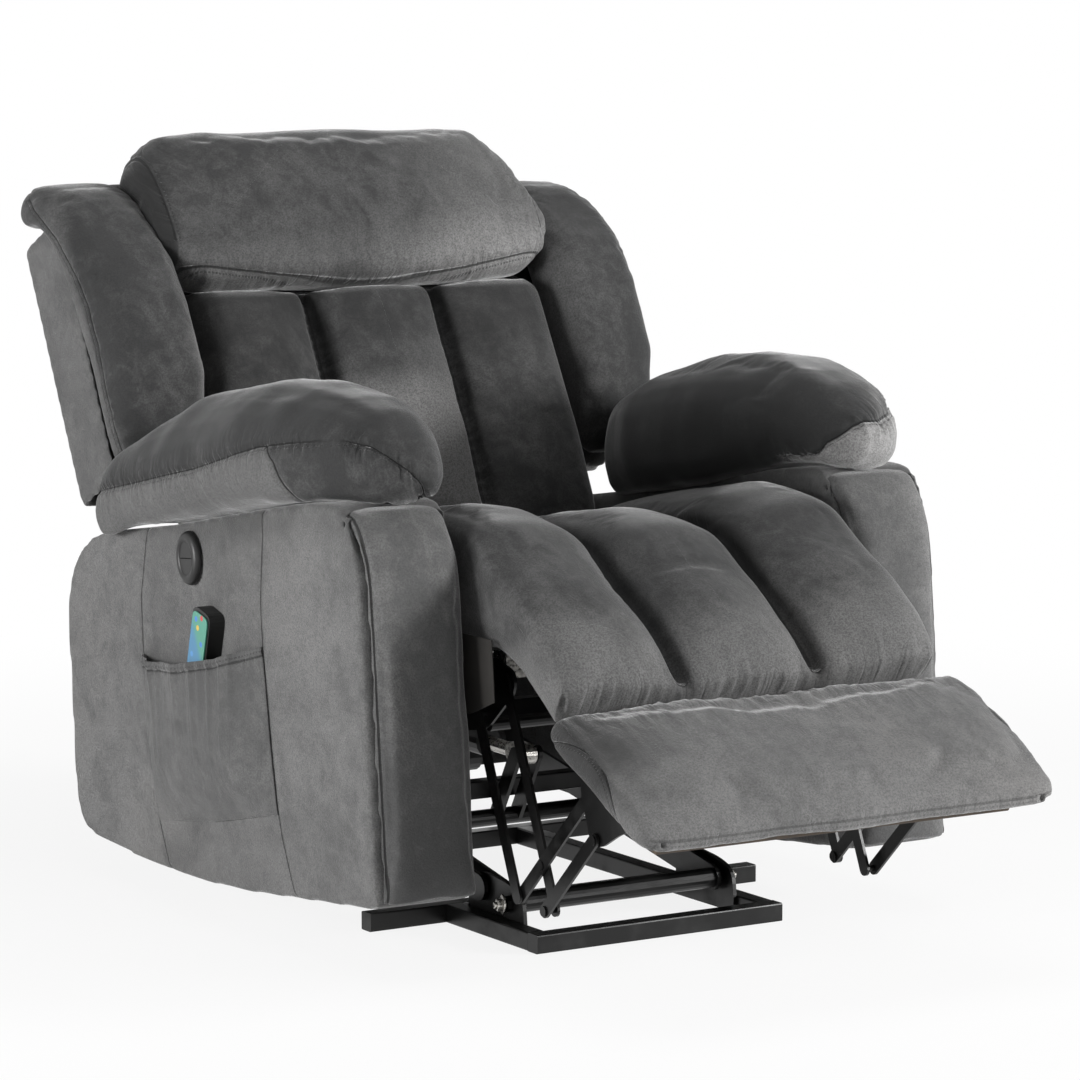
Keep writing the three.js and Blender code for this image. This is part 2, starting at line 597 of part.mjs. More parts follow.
// ---------------------------------------------------------------- seat and footrest cushions
function seatCushions() {
  // share along the pad, crease line (Y, Z), underside (Y, Z), crown, narrowing
  const deck = (y) => mix(seatRearRail.z, seatFrontRail.z,
    (seatRearRail.y - y) / (seatRearRail.y - seatFrontRail.y)) + railHeight + 3;
  const nose = { ...seatNose, under: deck(-335) + 3, inner: seatNose.y + seatNoseRise };
  const seat = track([
    [0, seatRear - 6, 440, seatRear - 8, deck(seatRear) + 30, 4, 14],
    [0.04, seatRear, 452, seatRear - 6, deck(seatRear), 14, 6],
    [0.12, seatRear - 34, 468, seatRear - 30, deck(seatRear - 30), 20, 0],
    [0.3, 70, 489, 70, deck(70), seatCrown - 2, 0],
    [0.52, -90, 518, -90, deck(-90), seatCrown, 0],
    [0.72, -220, 534, -215, deck(-215), seatCrown + 2, 0],
    [0.88, -322, 520, -298, deck(-298), seatCrown + 4, 0],
    [1, nose.y, nose.z, nose.inner, nose.under, seatCrown, 0],
  ]);
  const shares = [0, 0.04, 0.12, 0.24, 0.38, 0.52, 0.64, 0.76, 0.88, 1];
  const ringOf = (line, share) => {
    const [fy, fz, uy, uz, crown, narrow] = line(share);
    return padRing({ y: fy, z: fz }, { y: uy, z: uz }, crown, seatEdge, narrow);
  };
  place('seat_cushion', loft(shares.map((s) => ringOf(seat, s))), 'velvet');

  const seam = onFootrest(-3, 0);
  const seamUnder = onFootrest(-3, -bolsterThickness);
  // share from nose to seam, bulge of the face, underside's shift (Y, Z), crown
  const between = (share, bulge, shiftY, shiftZ, crown) => [share, mix(nose.y, seam.y, share),
    mix(nose.z, seam.z, share) + bulge, mix(nose.inner, seamUnder.y, share) + shiftY,
    mix(nose.under, seamUnder.z, share) + shiftZ, crown, 0];
  const chaise = track([
    [0, nose.y - runGap, nose.z, nose.inner - runGap, nose.under, seatCrown, 0],
    between(0.35, 11, 8, 16, seatCrown + 4),
    between(0.7, 12, 4, 12, seatCrown),
    between(0.94, 5, 2, 6, 14),
    [1, seam.y, seam.z, seamUnder.y - 2, seamUnder.z + 4, 4, 6],
  ]);
  place('chaise_pad', loft([0, 0.2, 0.4, 0.6, 0.8, 0.93, 1].map((s) => ringOf(chaise, s))),
    'velvet');

  // bolster: one pillow across the footrest, with a crown and drawn-in ends
  // share along, upper face, inset of the underside, width
  const bolster = track([
    [0, -6, 12, 0.95],
    [0.05, 8, 3, 0.985],
    [0.3, 20, 0, 1],
    [0.6, 27, 0, 1],
    [0.86, 27, 0, 1],
    [0.96, 16, 3, 0.985],
    [1, 4, 10, 0.95],
  ]);
  const rings = [0, 0.05, 0.18, 0.34, 0.5, 0.66, 0.8, 0.9, 0.97, 1].map((share) => {
    const [top, raise, wide] = bolster(share);
    const along = 1.5 + share * bolsterLength;
    const bottom = bolsterUnder(along) + raise;
    return rounded(28, 5, (c, s) => {
      const above = s > 0 ? mix((top + bottom) / 2, top, s) : mix((top + bottom) / 2, bottom, -s);
      const at = onFootrest(along, above);
      return point(c * bolsterHalf * wide, at.y, at.z);
    });
  });
  place('footrest_bolster', loft(rings), 'velvet');

  const board = [[14, boardTop], [bolsterLength - 26, boardTop], [bolsterLength - 26, boardUnder],
    [14, boardUnder]].map(([along, level]) => onFootrest(along, level(along)));
  place('footrest_board', prismX(roundedOutline(board.map((p) => [p.y, p.z]), 2),
    -boardWidth / 2, boardWidth / 2, 2), 'plywood');
}

// ---------------------------------------------------------------- arms, in the tilted body
const armTop = (y) => armHeight - armTopDrop * Math.min(1, Math.max(0, y / (armDepth - 100)));
const armFace = -10;               // front of the arm box
const panelDepth = 22;             // padding on the arm front

function armOutline() {
  return roundedOutline([
    [armFace, 2, 4], [armDepth * 0.52, 0, 120], [armDepth - 70, armHeelRise * 0.72, 90],
    [armDepth, armHeelRise + 8, 60], [armDepth, armTop(armDepth), 145],
    [armDepth * 0.6, armTop(armDepth * 0.6), 60], [130, armTop(60), 60],
    [armFace, armTop(0) - 4, armNoseRadius],
  ], 40);
}

function armFrontPanel(sign, grow = 0) {
  // profile of the arm front from the floor edge up and over the nose
  const straight = armHeight - armNoseRadius - 6;
  const stations = [[4, 0], [10, 0], [straight * 0.25, 0], [straight * 0.5, 0],
    [straight * 0.75, 0], [straight, 0]];
  const turns = [0.25, 0.5, 0.75, 1].map((t) => t * 1.2);
  const rings = [];
  const ring = (y, z, ny, nz, swell) => rounded(20, 3.2, (c, s) => {
    const reach = s > 0 ? (panelDepth * swell + grow) * s : (1.5 + grow) * s;
    const wide = armWidth / 2 - 1 + grow * 4;
    return point(sign * (armInner + armWidth / 2 + c * wide), y + ny * reach, z + nz * reach);
  });
  const rear = armFace - 2;
  stations.forEach(([z], i) => rings.push(ring(rear, z, -1, 0, i === 0 ? 0.55 : 1)));
  turns.forEach((turn, i) => {
    const radius = armNoseRadius - 12;
    const y = rear + radius * (1 - Math.cos(turn));
    const z = straight + radius * Math.sin(turn);
    rings.push(ring(y, z, -Math.cos(turn), Math.sin(turn), i === turns.length - 1 ? 0.5 : 1));
  });
  return loft(rings);
}

function armPad(sign) {
  // share along, middle above the arm's front top, half thickness, half width, outer droop
  const line = track([
    [0, 31, 22, 0.28, 0],
    [0.03, 35, 44, 0.52, 0],
    [0.08, 44, 64, 0.74, 2],
    [0.16, 55, 76, 0.9, 8],
    [0.26, 63, 81, 0.98, 12],
    [0.42, 65, 84, 1, 14],
    [0.62, 55, 86, 1, 18],
    [0.78, 33, 82, 1, 16],
    [0.88, 11, 71, 0.98, 12],
    [0.95, -8, 55, 0.92, 8],
    [1, -24, 30, 0.76, 6],
  ]);
  const stations = [0, 0.03, 0.08, 0.15, 0.25, 0.38, 0.52, 0.66, 0.77, 0.85, 0.91, 0.96, 1];
  return loft(stations.map((share) => {
    const [above, thick, wide, droop] = line(share);
    const z = armHeight + above;
    const y = padNose + share * padLength;
    // the inner side keeps clear of the back, and at the rear of the back's shell too
    const overBack = THREE.MathUtils.smoothstep(share, 0.72, 0.83);
    const besideShell = THREE.MathUtils.smoothstep(share, 0.82, 0.93);
    const inner = mix(mix(armInner - padInset, armInner + 4, overBack), shellHalf + 6,
      besideShell);
    const outer = armOuter + padOverhang - padNoseInset * (1 - THREE.MathUtils.smoothstep(
      share, 0, 0.36));
    return rounded(20, 2.4, (c, s) => point(
      sign * ((inner + outer) / 2 + c * wide * (outer - inner) / 2), y,
      z + s * thick - droop * Math.max(0, c) ** 2));
  }));
}

function arms() {
  for (const [side, sign] of sides) {
    const block = prismX(armOutline(), sign * armInner, sign * armOuter, 5);
    const clear = (solid) => solid.translate(0, 0, runGap);
    place(`arm_box_${side}`, cut(block, armFrontPanel(sign, runGap)), 'sideVelvet', tilted);
    place(`arm_front_panel_${side}`, armFrontPanel(sign), 'velvet', tilted);
    place(`arm_pad_${side}`, cut(armPad(sign), clear(block.clone()),
      clear(armFrontPanel(sign, runGap))), 'velvet', tilted);
    const bracket = roundedOutline([[40, 236], [270, 236], [270, 242], [46, 242], [46, 272],
      [40, 272]], 1);
    const reach = [sidePlateX + linkThickness + runGap, armInner - runGap];
    place(`arm_bracket_${side}`, prismX(bracket, sign * reach[0], sign * reach[1], 1),
      'blackSteel');
  }
  const closing = roundedRectangle(armDepth - 40, armDepth - 24, armHeelRise + 30, 300, 6);
  place('rear_panel', prismX(closing, -armInner + runGap, armInner - runGap, 3), 'sideVelvet',
    tilted);
}

// ---------------------------------------------------------------- pocket, handset, switch
function controls() {
  const face = -armOuter - runGap;
  const middle = (pocket.front + pocket.rear) / 2;
  const halfMouth = (pocket.rear - pocket.front) / 2;
  // pocket: a bellied sheet, closed at the sides and bottom and open at the top
  const belly = (y, z, thick) => {
    const across = Math.max(0, 1 - (Math.abs(y - middle) / halfMouth) ** 4);
    const up = (z - pocket.bottom) / (pocket.top - pocket.bottom);
    const fill = Math.sin(Math.min(1, up * 2.6) * Math.PI / 2);
    return face - thick - (pocket.bulge - thick) * across * fill;
  };
  const across = 12;
  const rise = 7;
  const grid = (thick, inset) => Array.from({ length: rise + 1 }, (_, j) => {
    const z = mix(pocket.bottom + inset, pocket.top, j / rise);
    return Array.from({ length: across + 1 }, (_, i) => {
      const y = mix(pocket.front + inset, pocket.rear - inset, i / across);
      return point(belly(y, z, thick), y, z);
    });
  });
  // rings run down the outside and back up against the arm
  const hull = (thick, inset, wall) => loft(grid(thick, inset).map((row) => [
    ...row, ...row.slice().reverse().map((p) => point(wall, p.y, p.z))]));
  const outside = hull(pocket.sheet, 0, face);
  const inside = hull(0.8, pocket.sheet * 2, face - 0.4);
  inside.translate(pocket.sheet - 0.4, 0, 0);
  place('side_pocket', cut(outside, inside), 'sideVelvet', tilted);

  const frame = new THREE.Group();
  frame.position.set(face - runGap, handset.middle, handset.foot);
  frame.rotation.x = THREE.MathUtils.degToRad(handset.lean);
  tilted.add(frame);
  const shell = prismX(roundedRectangle(-handset.width / 2, handset.width / 2, 0,
    handset.length, 14), -handset.thickness + 2, 0, 4);
  place('handset_shell', shell, 'blackPlastic', frame);
  place('handset_keypad', prismX(roundedRectangle(-handset.width / 2 + 4, handset.width / 2 - 4,
    5, handset.length - 5, 11), -handset.thickness + 2 - runGap, -handset.thickness, 4),
  'overlay', frame);

  const oval = (grow) => {
    const shape = new THREE.Shape();
    shape.absellipse(switchPlace.y, switchPlace.z, bezel.width / 2 - grow,
      bezel.height / 2 - grow, 0, Math.PI * 2, false);
    return shape;
  };
  const ring = prismX(oval(0), face, face - bezel.depth, 12);
  const well = prismX(oval(bezel.wall), face - 3, face - bezel.depth - 1, 12);
  place('switch_bezel', cut(ring, well), 'blackPlastic', tilted);
  const inner = prismX(oval(bezel.wall + runGap), face - 3 - runGap - buttonTravel,
    face - bezel.depth + 2, 12);
  const half = (low, high) => box(face + 5, face - 20, switchPlace.y - 60, switchPlace.y + 60,
    switchPlace.z + low, switchPlace.z + high);
  place('switch_button_up', cut(inner, half(-60, 0.6)), 'blackPlastic', tilted);
  place('switch_button_down', cut(inner, half(-0.6, 60)), 'blackPlastic', tilted);
}

// ---------------------------------------------------------------- back, in the reclined group
// Places here: up the back from the back line, and forward of its rear face.
const onBack = (x, up, forward) => point(x, -forward, up);

// Profile drawn across the back (X, up), pushed forward from one depth to another.
function prismBack(shape, near, far, curveSegments = 4) {
  return prismY(shape, -far, -near, curveSegments);
}

function backShell() {
  // shoulders and middle hump of the shell, drawn inwards by one inset
  const upper = (inset, foot) => {
    const half = [[shellHalf - inset, foot, 2], [shellHalf - inset, shellShoulder - inset, 8],
      [shellHump - inset, shellShoulder - inset, 2], [shellHump - 8 - inset, backTop - inset, 30]];
    return [...half, ...half.slice().reverse().map(([x, up, radius]) => [-x, up, radius])];
  };
  const skirt = [[-halfSeat + 2, shellSkirt, 2], [-halfSeat + 2, backBottom, 4],
    [halfSeat - 2, backBottom, 4], [halfSeat - 2, shellSkirt, 2]];
  const plate = prismBack(roundedOutline([...upper(0, shellSkirt), ...skirt], 4), 0, shellWall);
  const rim = cut(
    prismBack(roundedOutline(upper(0, shellSkirt), 4), shellWall - 1, shellDepth),
    prismBack(roundedOutline(upper(shellWall, shellSkirt - 5), 4), shellWall - 2,
      shellDepth + 1));
  const behindHeadrest = box(-shellHump - 4, shellHump + 4, -shellDepth - 1,
    -humpDepth, shellShoulder - 2 * shellWall, backTop + 1);
  return cut(join(plate, rim), behindHeadrest);
}

function backFrame() {
  const postOuter = sidePlateX + linkPitch - runGap;
  const postInner = postOuter - 34;
  const start = shellWall + runGap;
  const post = (sign) => box(sign * postInner, sign * postOuter, -start - frameDepth, -start,
    backBottom + 6, backTop - 70);
  const rail = (low, high) => box(-postInner - 4, postInner + 4, -start - frameDepth, -start - 30,
    low, high);
  return join(post(1), post(-1), rail(backBottom + 10, backBottom + 62), rail(110, 160),
    rail(backTop - 122, backTop - 72));
}

function backCushion() {
  const rear = shellWall + frameDepth + 2 * runGap;
  // up the back: crease depth, crown, drawn-in sides
  const low = backBottom + 26;
  const line = track([
    [low, 146, 2, 16], [low + 16, 174, 12, 6], [low + 54, 198, 24, 0], [-20, creaseDepth + 3, 32, 0],
    [150, creaseDepth, 32, 0], [258, creaseDepth - 4, 25, 0], [300, 164, 12, 0],
    [335, 102, 0.5, 4],
  ]);
  const stations = [low, low + 16, low + 54, -70, 0, 75, 150, 215, 262, 300, 335];
  return loft(stations.map((up) => {
    const [depth, crown, narrow] = line(up);
    const squeeze = 1 - (narrow + 2) / halfSeat;
    const front = faceSteps.map((x) => onBack(x * squeeze, up, depth + channelRise(x, crown, 26)));
    const back = [1, 0.5, 0, -0.5, -1].map((s) => onBack(s * halfSeat * squeeze * 0.97, up, rear));
    return [...front, ...back];
  }));
}

function headrest(grow = 0) {
  // share across, height and depth as shares of the full section
  const line = track([
    [0, 0.5, 0.5], [0.03, 0.76, 0.74], [0.09, 0.95, 0.92], [0.25, 1, 1],
    [0.75, 1, 1], [0.91, 0.95, 0.92], [0.97, 0.76, 0.74], [1, 0.5, 0.5],
  ]);
  const lean = 25;                 // the lower edge hangs forward of the upper one
  return loft([0, 0.03, 0.09, 0.2, 0.35, 0.5, 0.65, 0.8, 0.91, 0.97, 1].map((share) => {
    const [tall, deep] = line(share);
    const x = mix(-headrestHalfWidth - grow, headrestHalfWidth + grow, share);
    return rounded(20, 2.6, (c, s) => onBack(x,
      headrestMiddle + s * (headrestHalfHeight * tall + grow),
      headrestDepth - s * lean + c * (headrestHalfDepth * deep + grow)));
  }));
}

function wing(sign) {
  // up the back: rear and front of the wing, half width share
  const overShell = shellShoulder + runGap;
  const wingRear = shellDepth + runGap;
  const line = track([
    [wingFoot, wingRear + 10, 190, 0.8], [wingFoot + 14, wingRear + 1, 224, 0.92],
    [150, wingRear, 246, 1], [255, wingRear, 244, 1], [330, wingRear, 216, 1],
    [390, wingRear, 180, 1], [overShell, wingRear, 154, 0.99],
  ]);
  const cap = [[overShell + 0.2, 34, 154, 0.99], [452, 26, 138, 0.96], [470, 28, 118, 0.91],
    [484, 38, 98, 0.82], [wingTop, 52, 82, 0.66]];
  const inner = halfSeat + 3;
  const outer = armOuter + 1;
  const beside = box(0, sign * (shellHump + 3), -shellDepth - 2, 0, shellShoulder - 8, backTop);
  const stations = [wingFoot, wingFoot + 14, 150, 205, 265, 325, 365, 400, overShell]
    .map((up) => [up, ...line(up)]);
  const ring = ([up, rear, front, wide]) => rounded(18, 2.5, (c, s) => {
    const forward = mix((rear + front) / 2, s > 0 ? front : rear, Math.abs(s));
    const x = (inner + outer) / 2 + c * wide * (outer - inner) / 2;
    return onBack(sign * x, up, forward);
  });
  return cut(loft([...stations, ...cap].map(ring)), beside);
}

function back() {
  place('back_shell', backShell(), 'sideVelvet', reclined);
  place('back_frame', backFrame(), 'plywood', reclined);
  const pillow = headrest();
  const hollow = headrest(runGap);
  place('headrest_pillow', pillow, 'velvet', reclined);
  place('back_cushion', cut(backCushion(), hollow), 'velvet', reclined);
  for (const [side, sign] of sides) {
    place(`back_wing_${side}`, cut(wing(sign), hollow), 'velvet', reclined);
    // bracket between the mechanism's pivot and the frame post
    const up = reclined.worldToLocal(new THREE.Vector3(0, backPivot.y + floorCentre, backPivot.z));
    const plate = roundedOutline([[up.y - 20, up.z - 8], [up.y + 8, up.z - 20],
      [up.y + 22, up.z + 6], [-shellWall - 14, backBottom + 30], [-shellWall - 14, -20],
      [-shellWall - frameDepth + 14, -20], [-shellWall - frameDepth + 8, backBottom + 30]], 12);
    const layer = (n) => sign * (sidePlateX + n * linkPitch);
    const outer = layer(1) + sign * linkThickness;
    const pivot = { y: up.y, z: up.z };
    place(`back_bracket_${side}`, join(
      prismX(plate, layer(1), outer, 4),
      cylinderX(layer(0) - sign, layer(1) + sign, pivot, liftPin),
      cylinderX(layer(0) - sign * 4, layer(0) - sign * runGap, pivot, liftPin * 1.7, 6),
    ), 'blackSteel', reclined);
  }
}

floorFrame();
liftLinkage();
carriage();
actuator();
footrestLinkage();
seatDeck();
seatCushions();
arms();
controls();
group.updateMatrixWorld(true);
back();
group.updateMatrixWorld(true);

export default group;
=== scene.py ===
import math

import bmesh
import bpy
import numpy as np
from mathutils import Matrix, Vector
from mathutils.bvhtree import BVHTree


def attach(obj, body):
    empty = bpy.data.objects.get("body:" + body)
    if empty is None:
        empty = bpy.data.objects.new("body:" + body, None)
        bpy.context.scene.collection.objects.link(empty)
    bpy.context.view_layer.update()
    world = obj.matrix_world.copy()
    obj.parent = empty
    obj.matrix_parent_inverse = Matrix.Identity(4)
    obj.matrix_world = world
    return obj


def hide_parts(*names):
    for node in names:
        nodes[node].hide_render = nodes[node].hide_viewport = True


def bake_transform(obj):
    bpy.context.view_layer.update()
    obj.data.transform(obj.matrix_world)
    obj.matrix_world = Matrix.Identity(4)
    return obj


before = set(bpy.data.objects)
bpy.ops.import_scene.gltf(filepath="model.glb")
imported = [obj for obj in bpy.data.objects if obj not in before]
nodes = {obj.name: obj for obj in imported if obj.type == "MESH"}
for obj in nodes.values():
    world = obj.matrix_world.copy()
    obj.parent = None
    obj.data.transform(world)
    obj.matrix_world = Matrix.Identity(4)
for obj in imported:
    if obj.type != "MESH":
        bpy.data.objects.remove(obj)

scene = bpy.context.scene
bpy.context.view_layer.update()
print("frame loaded:", len(nodes), "nodes")


# picking, places and simple shape helpers

def pickNone():
    if bpy.context.object and bpy.context.object.mode != "OBJECT":
        bpy.ops.object.mode_set(mode="OBJECT")
    bpy.ops.object.select_all(action="DESELECT")


def pick(piece):
    pickNone()
    piece.select_set(True)
    bpy.context.view_layer.objects.active = piece


def applyAll(piece):
    pick(piece)
    for modifier in list(piece.modifiers):
        bpy.ops.object.modifier_apply(modifier=modifier.name)


def pointsOf(piece, what="co"):
    flat = np.empty(len(piece.data.vertices) * 3)
    piece.data.vertices.foreach_get(what, flat)
    return flat.reshape(-1, 3)


def movePoints(piece, points):
    piece.data.vertices.foreach_set("co", points.ravel())
    piece.data.update()


def meshPiece(name, shape):
    mesh = bpy.data.meshes.new(name)
    shape.to_mesh(mesh)
    shape.free()
    piece = bpy.data.objects.new(name, mesh)
    scene.collection.objects.link(piece)
    return piece


def paintPoints(piece, name, values):
    layer = piece.data.attributes.new(name, "FLOAT", "POINT")
    layer.data.foreach_set("value", values.astype(np.float32))


armTilt = {"turn": math.radians(5.69), "y": -0.319, "z": 0.087}
backTilt = {"turn": math.radians(26.5), "y": 0.519, "z": 0.482}
footTilt = {"turn": math.radians(32.6), "y": -0.5195, "z": 0.3645}


def armPlace(points):
    # places along and up the tilted arm body
    y, z = points[:, 1] - armTilt["y"], points[:, 2] - armTilt["z"]
    c, s = math.cos(armTilt["turn"]), math.sin(armTilt["turn"])
    return points[:, 0], c * y - s * z, s * y + c * z


def armPoint(x, along, up):
    c, s = math.cos(armTilt["turn"]), math.sin(armTilt["turn"])
    return Vector((x, armTilt["y"] + along * c + up * s, armTilt["z"] - along * s + up * c))


def backPlace(points):
    # places up the back and out from its frame
    y, z = points[:, 1] - backTilt["y"], points[:, 2] - backTilt["z"]
    c, s = math.cos(backTilt["turn"]), math.sin(backTilt["turn"])
    return points[:, 0], s * y + c * z, s * z - c * y


def footPlace(points):
    # places down the footrest from its seam and above its face
    y, z = points[:, 1] - footTilt["y"], points[:, 2] - footTilt["z"]
    c, s = math.cos(footTilt["turn"]), math.sin(footTilt["turn"])
    return points[:, 0], -y * c - z * s, z * c - y * s


def smoothstep(value, low, high):
    share = np.clip((value - low) / (high - low), 0, 1)
    return share * share * (3 - 2 * share)


def grain(u, v, w, seed):
    # smooth random values from -1 to 1, the same on every run
    def corner(i, j, k):
        value = np.sin(i * 127.1 + j * 311.7 + k * 74.7 + seed * 19.19) * 43758.5453
        return value - np.floor(value)
    iu, iv, iw = np.floor(u), np.floor(v), np.floor(w)
    fu, fv, fw = u - iu, v - iv, w - iw
    fu, fv, fw = [f * f * (3 - 2 * f) for f in (fu, fv, fw)]
    total = 0
    for i in (0, 1):
        for j in (0, 1):
            for k in (0, 1):
                weight = (fu if i else 1 - fu) * (fv if j else 1 - fv) * (fw if k else 1 - fw)
                total = total + weight * corner(iu + i, iv + j, iw + k)
    return total * 2 - 1


def bridge(shape, rows):
    # a band of faces between each ring of points and the next one
    count = len(rows[0])
    for low, high in zip(rows, rows[1:]):
        for i in range(count):
            j = (i + 1) % count
            shape.faces.new((low[i], low[j], high[j], high[i]))


def gridSheet(name, rows):
    # an open sheet through rows of equal count
    shape = bmesh.new()
    rows = [[shape.verts.new(place) for place in row] for row in rows]
    for low, high in zip(rows, rows[1:]):
        for i in range(len(low) - 1):
            shape.faces.new((low[i], high[i], high[i + 1], low[i + 1]))
    return meshPiece(name, shape)


def loftCover(rings):
    # closed mesh through rings of equal count
    shape = bmesh.new()
    rows = [[shape.verts.new(place) for place in ring] for ring in rings]
    bridge(shape, rows)
    shape.faces.new(rows[0])
    shape.faces.new(rows[-1])
    bmesh.ops.triangulate(shape, faces=[f for f in shape.faces if len(f.verts) > 4])
    bmesh.ops.recalc_face_normals(shape, faces=shape.faces)
    return shape


def through(rows, steps):
    # rows of numbers, first a share, read off at even steps and smoothed
    table = np.array(rows, float)
    share = np.linspace(table[0, 0], table[-1, 0], steps)
    columns = [np.interp(share, table[:, 0], table[:, k]) for k in range(1, table.shape[1])]
    lines = np.stack(columns, axis=1)
    for _ in range(int(steps * 0.12) + 1):
        lines[1:-1] = (lines[:-2] + 2 * lines[1:-1] + lines[2:]) / 4
    return lines


# soft forms: a copy of the solid or an own cover, blown up as cloth, then sewn

def softForm(name, form):
    if "cover" in form:
        shape = form["cover"]()
    else:
        shape = bmesh.new()
        for node in form["nodes"]:
            shape.from_mesh(nodes[node].data)
        bmesh.ops.remove_doubles(shape, verts=shape.verts, dist=1e-5)
    piece = meshPiece(name, shape)
    solid = BVHTree.FromObject(piece, bpy.context.evaluated_depsgraph_get())
    if "voxel" in form:
        remesh = piece.modifiers.new("voxels", "REMESH")
        remesh.mode = "VOXEL"
        remesh.voxel_size = form["voxel"]
    soften = piece.modifiers.new("soften", "SMOOTH")
    soften.factor = 0.5
    soften.iterations = form.get("soften", 8 if "voxel" in form else 2)
    applyAll(piece)
    if form.get("inset"):
        movePoints(piece, pointsOf(piece) - form["inset"] * pointsOf(piece, "normal"))
    return piece, solid


# how the covers are simulated, and how much of that motion is kept
cloth = {"quality": 4, "mass": 0.3, "stretch": 10, "shear": 5, "bend": 0.3, "frames": 20,
         "pins": 2, "slideShare": 0.3, "slideMost": 0.004, "riseShare": 0.7,
         "sinkMost": -0.003, "riseMost": 0.006}


def swell(piece, form, held=None):
    # pressure inside the cover, pinned where it is sewn or rests on something
    out = pointsOf(piece, "normal")
    full = pointsOf(piece) + form["inset"] * out
    blown = piece.modifiers.new("cloth", "CLOTH")
    cover = blown.settings
    cover.quality = cloth["quality"]
    cover.mass = cloth["mass"]
    cover.tension_stiffness = cover.compression_stiffness = cloth["stretch"]
    cover.shear_stiffness = cloth["shear"]
    cover.bending_stiffness = cloth["bend"]
    cover.use_pressure = True
    cover.uniform_pressure_force = form["pressure"]
    cover.shrink_min = -form["slack"]
    cover.effector_weights.gravity = 0
    blown.collision_settings.use_collision = False
    if held is not None:
        group = piece.vertex_groups.new(name="held")
        group.add(np.nonzero(held)[0].tolist(), 1, "REPLACE")
        cover.vertex_group_mass = "held"
        cover.pin_stiffness = cloth["pins"]
    blown.point_cache.frame_start, blown.point_cache.frame_end = 1, cloth["frames"]
    for number in range(1, cloth["frames"] + 1):
        scene.frame_set(number)
    applyAll(piece)
    scene.frame_set(1)
    piece.vertex_groups.clear()
    # the cut of the cover holds its outline, so only part of the motion is kept
    drift = pointsOf(piece) - full
    rise = (drift * out).sum(axis=1)
    slide = cloth["slideShare"] * (drift - rise[:, None] * out)
    length = np.linalg.norm(slide, axis=1) + 1e-9
    slide *= np.minimum(1, cloth["slideMost"] / length)[:, None]
    rise = np.clip(cloth["riseShare"] * rise, cloth["sinkMost"], cloth["riseMost"])
    movePoints(piece, full + rise[:, None] * out + slide)


def keepNear(piece, solid, out, under=0.03):
    # no point stands further out of the solid, or further inside it, than it may
    points = pointsOf(piece)
    for i, place in enumerate(points):
        near, normal, _, distance = solid.find_nearest(Vector(place))
        side = 1 if (Vector(place) - near).dot(normal) > 0 else -1
        if side * distance > out:
            points[i] = near + normal * out
        elif side * distance < -under:
            points[i] = near - normal * under
    movePoints(piece, points)


def relax(piece, share, rounds):
    # evens out the part of a cover where share is above 0
    group = piece.vertex_groups.new(name="relaxed")
    for i in np.nonzero(share > 0.02)[0]:
        group.add([int(i)], float(share[i]), "REPLACE")
    even = piece.modifiers.new("even", "SMOOTH")
    even.factor = 0.6
    even.iterations = rounds
    even.vertex_group = "relaxed"
    applyAll(piece)
    piece.vertex_groups.clear()


def refine(piece):
    finer = piece.modifiers.new("finer", "SUBSURF")
    finer.levels = finer.render_levels = 1
    applyAll(piece)
    bpy.ops.object.shade_smooth()


def gathers(along, across, wave, number):
    # rows of short folds, sharper in their valleys than on their crests
    folds = grain(along / wave, across / 0.05, 0 * along, number + 3)
    fine = grain(along / wave * 2.3, across / 0.03, 0 * along, number + 9)
    return 0.6 - 1.6 * np.abs(folds) ** 0.7 + 0.5 * fine


def sew(piece, seams, waves, strokeAndShading=0.0, paintedShading=0.0):
    # seams cut grooves with gathers beside them, waves are slack in the cover,
    # the tone is the pile's stroke mixed with painted light and shade, the shade is painted light
    # and shade
    points, normals = pointsOf(piece), pointsOf(piece, "normal")
    count = len(points)
    push = np.zeros(count)
    nearest = np.full(count, 9.0)
    marks = {"seamAway": np.full(count, 0.5), "seamAlong": np.zeros(count),
             "seamShow": np.zeros(count), "pucker": np.zeros(count)}
    for number, seam in enumerate(seams):
        across, along = seam["across"], seam["along"] + np.zeros(count)
        where = seam.get("where", 1.0) + np.zeros(count)
        away = np.abs(across)
        push -= where * seam["depth"] * np.exp(-(away / seam["width"]) ** 2)
        reach = np.where(across > 0, seam.get("reach", 0.02), seam.get("reachUnder", 0.015))
        fade = np.exp(-away / reach) * (1 - np.exp(-(away / 0.004) ** 2))
        if "gather" in seam:
            push += where * seam["gather"] * gathers(along, across, seam["wave"], number) * fade
        score = away + 0.3 * (1 - where)
        closer = score < nearest
        nearest = np.where(closer, score, nearest)
        for name, value in (("seamAway", across), ("seamAlong", along + number), (
                "seamShow", where * seam.get("show", 1.0)), (
                "pucker", where * seam.get("pucker", 0.0) * np.exp(-away / reach))):
            marks[name] = np.where(closer, value, marks[name])
    for number, (size, height) in enumerate(waves):
        push += height * grain(points[:, 0] / size, points[:, 1] / size, points[:, 2] / size,
                               number + 31)
    movePoints(piece, points + normals * push[:, None])
    for name, values in marks.items():
        paintPoints(piece, name, values)
    paintPoints(piece, "strokeAndShading", strokeAndShading + np.zeros(count))
    paintPoints(piece, "paintedShading", paintedShading + np.zeros(count))


# materials

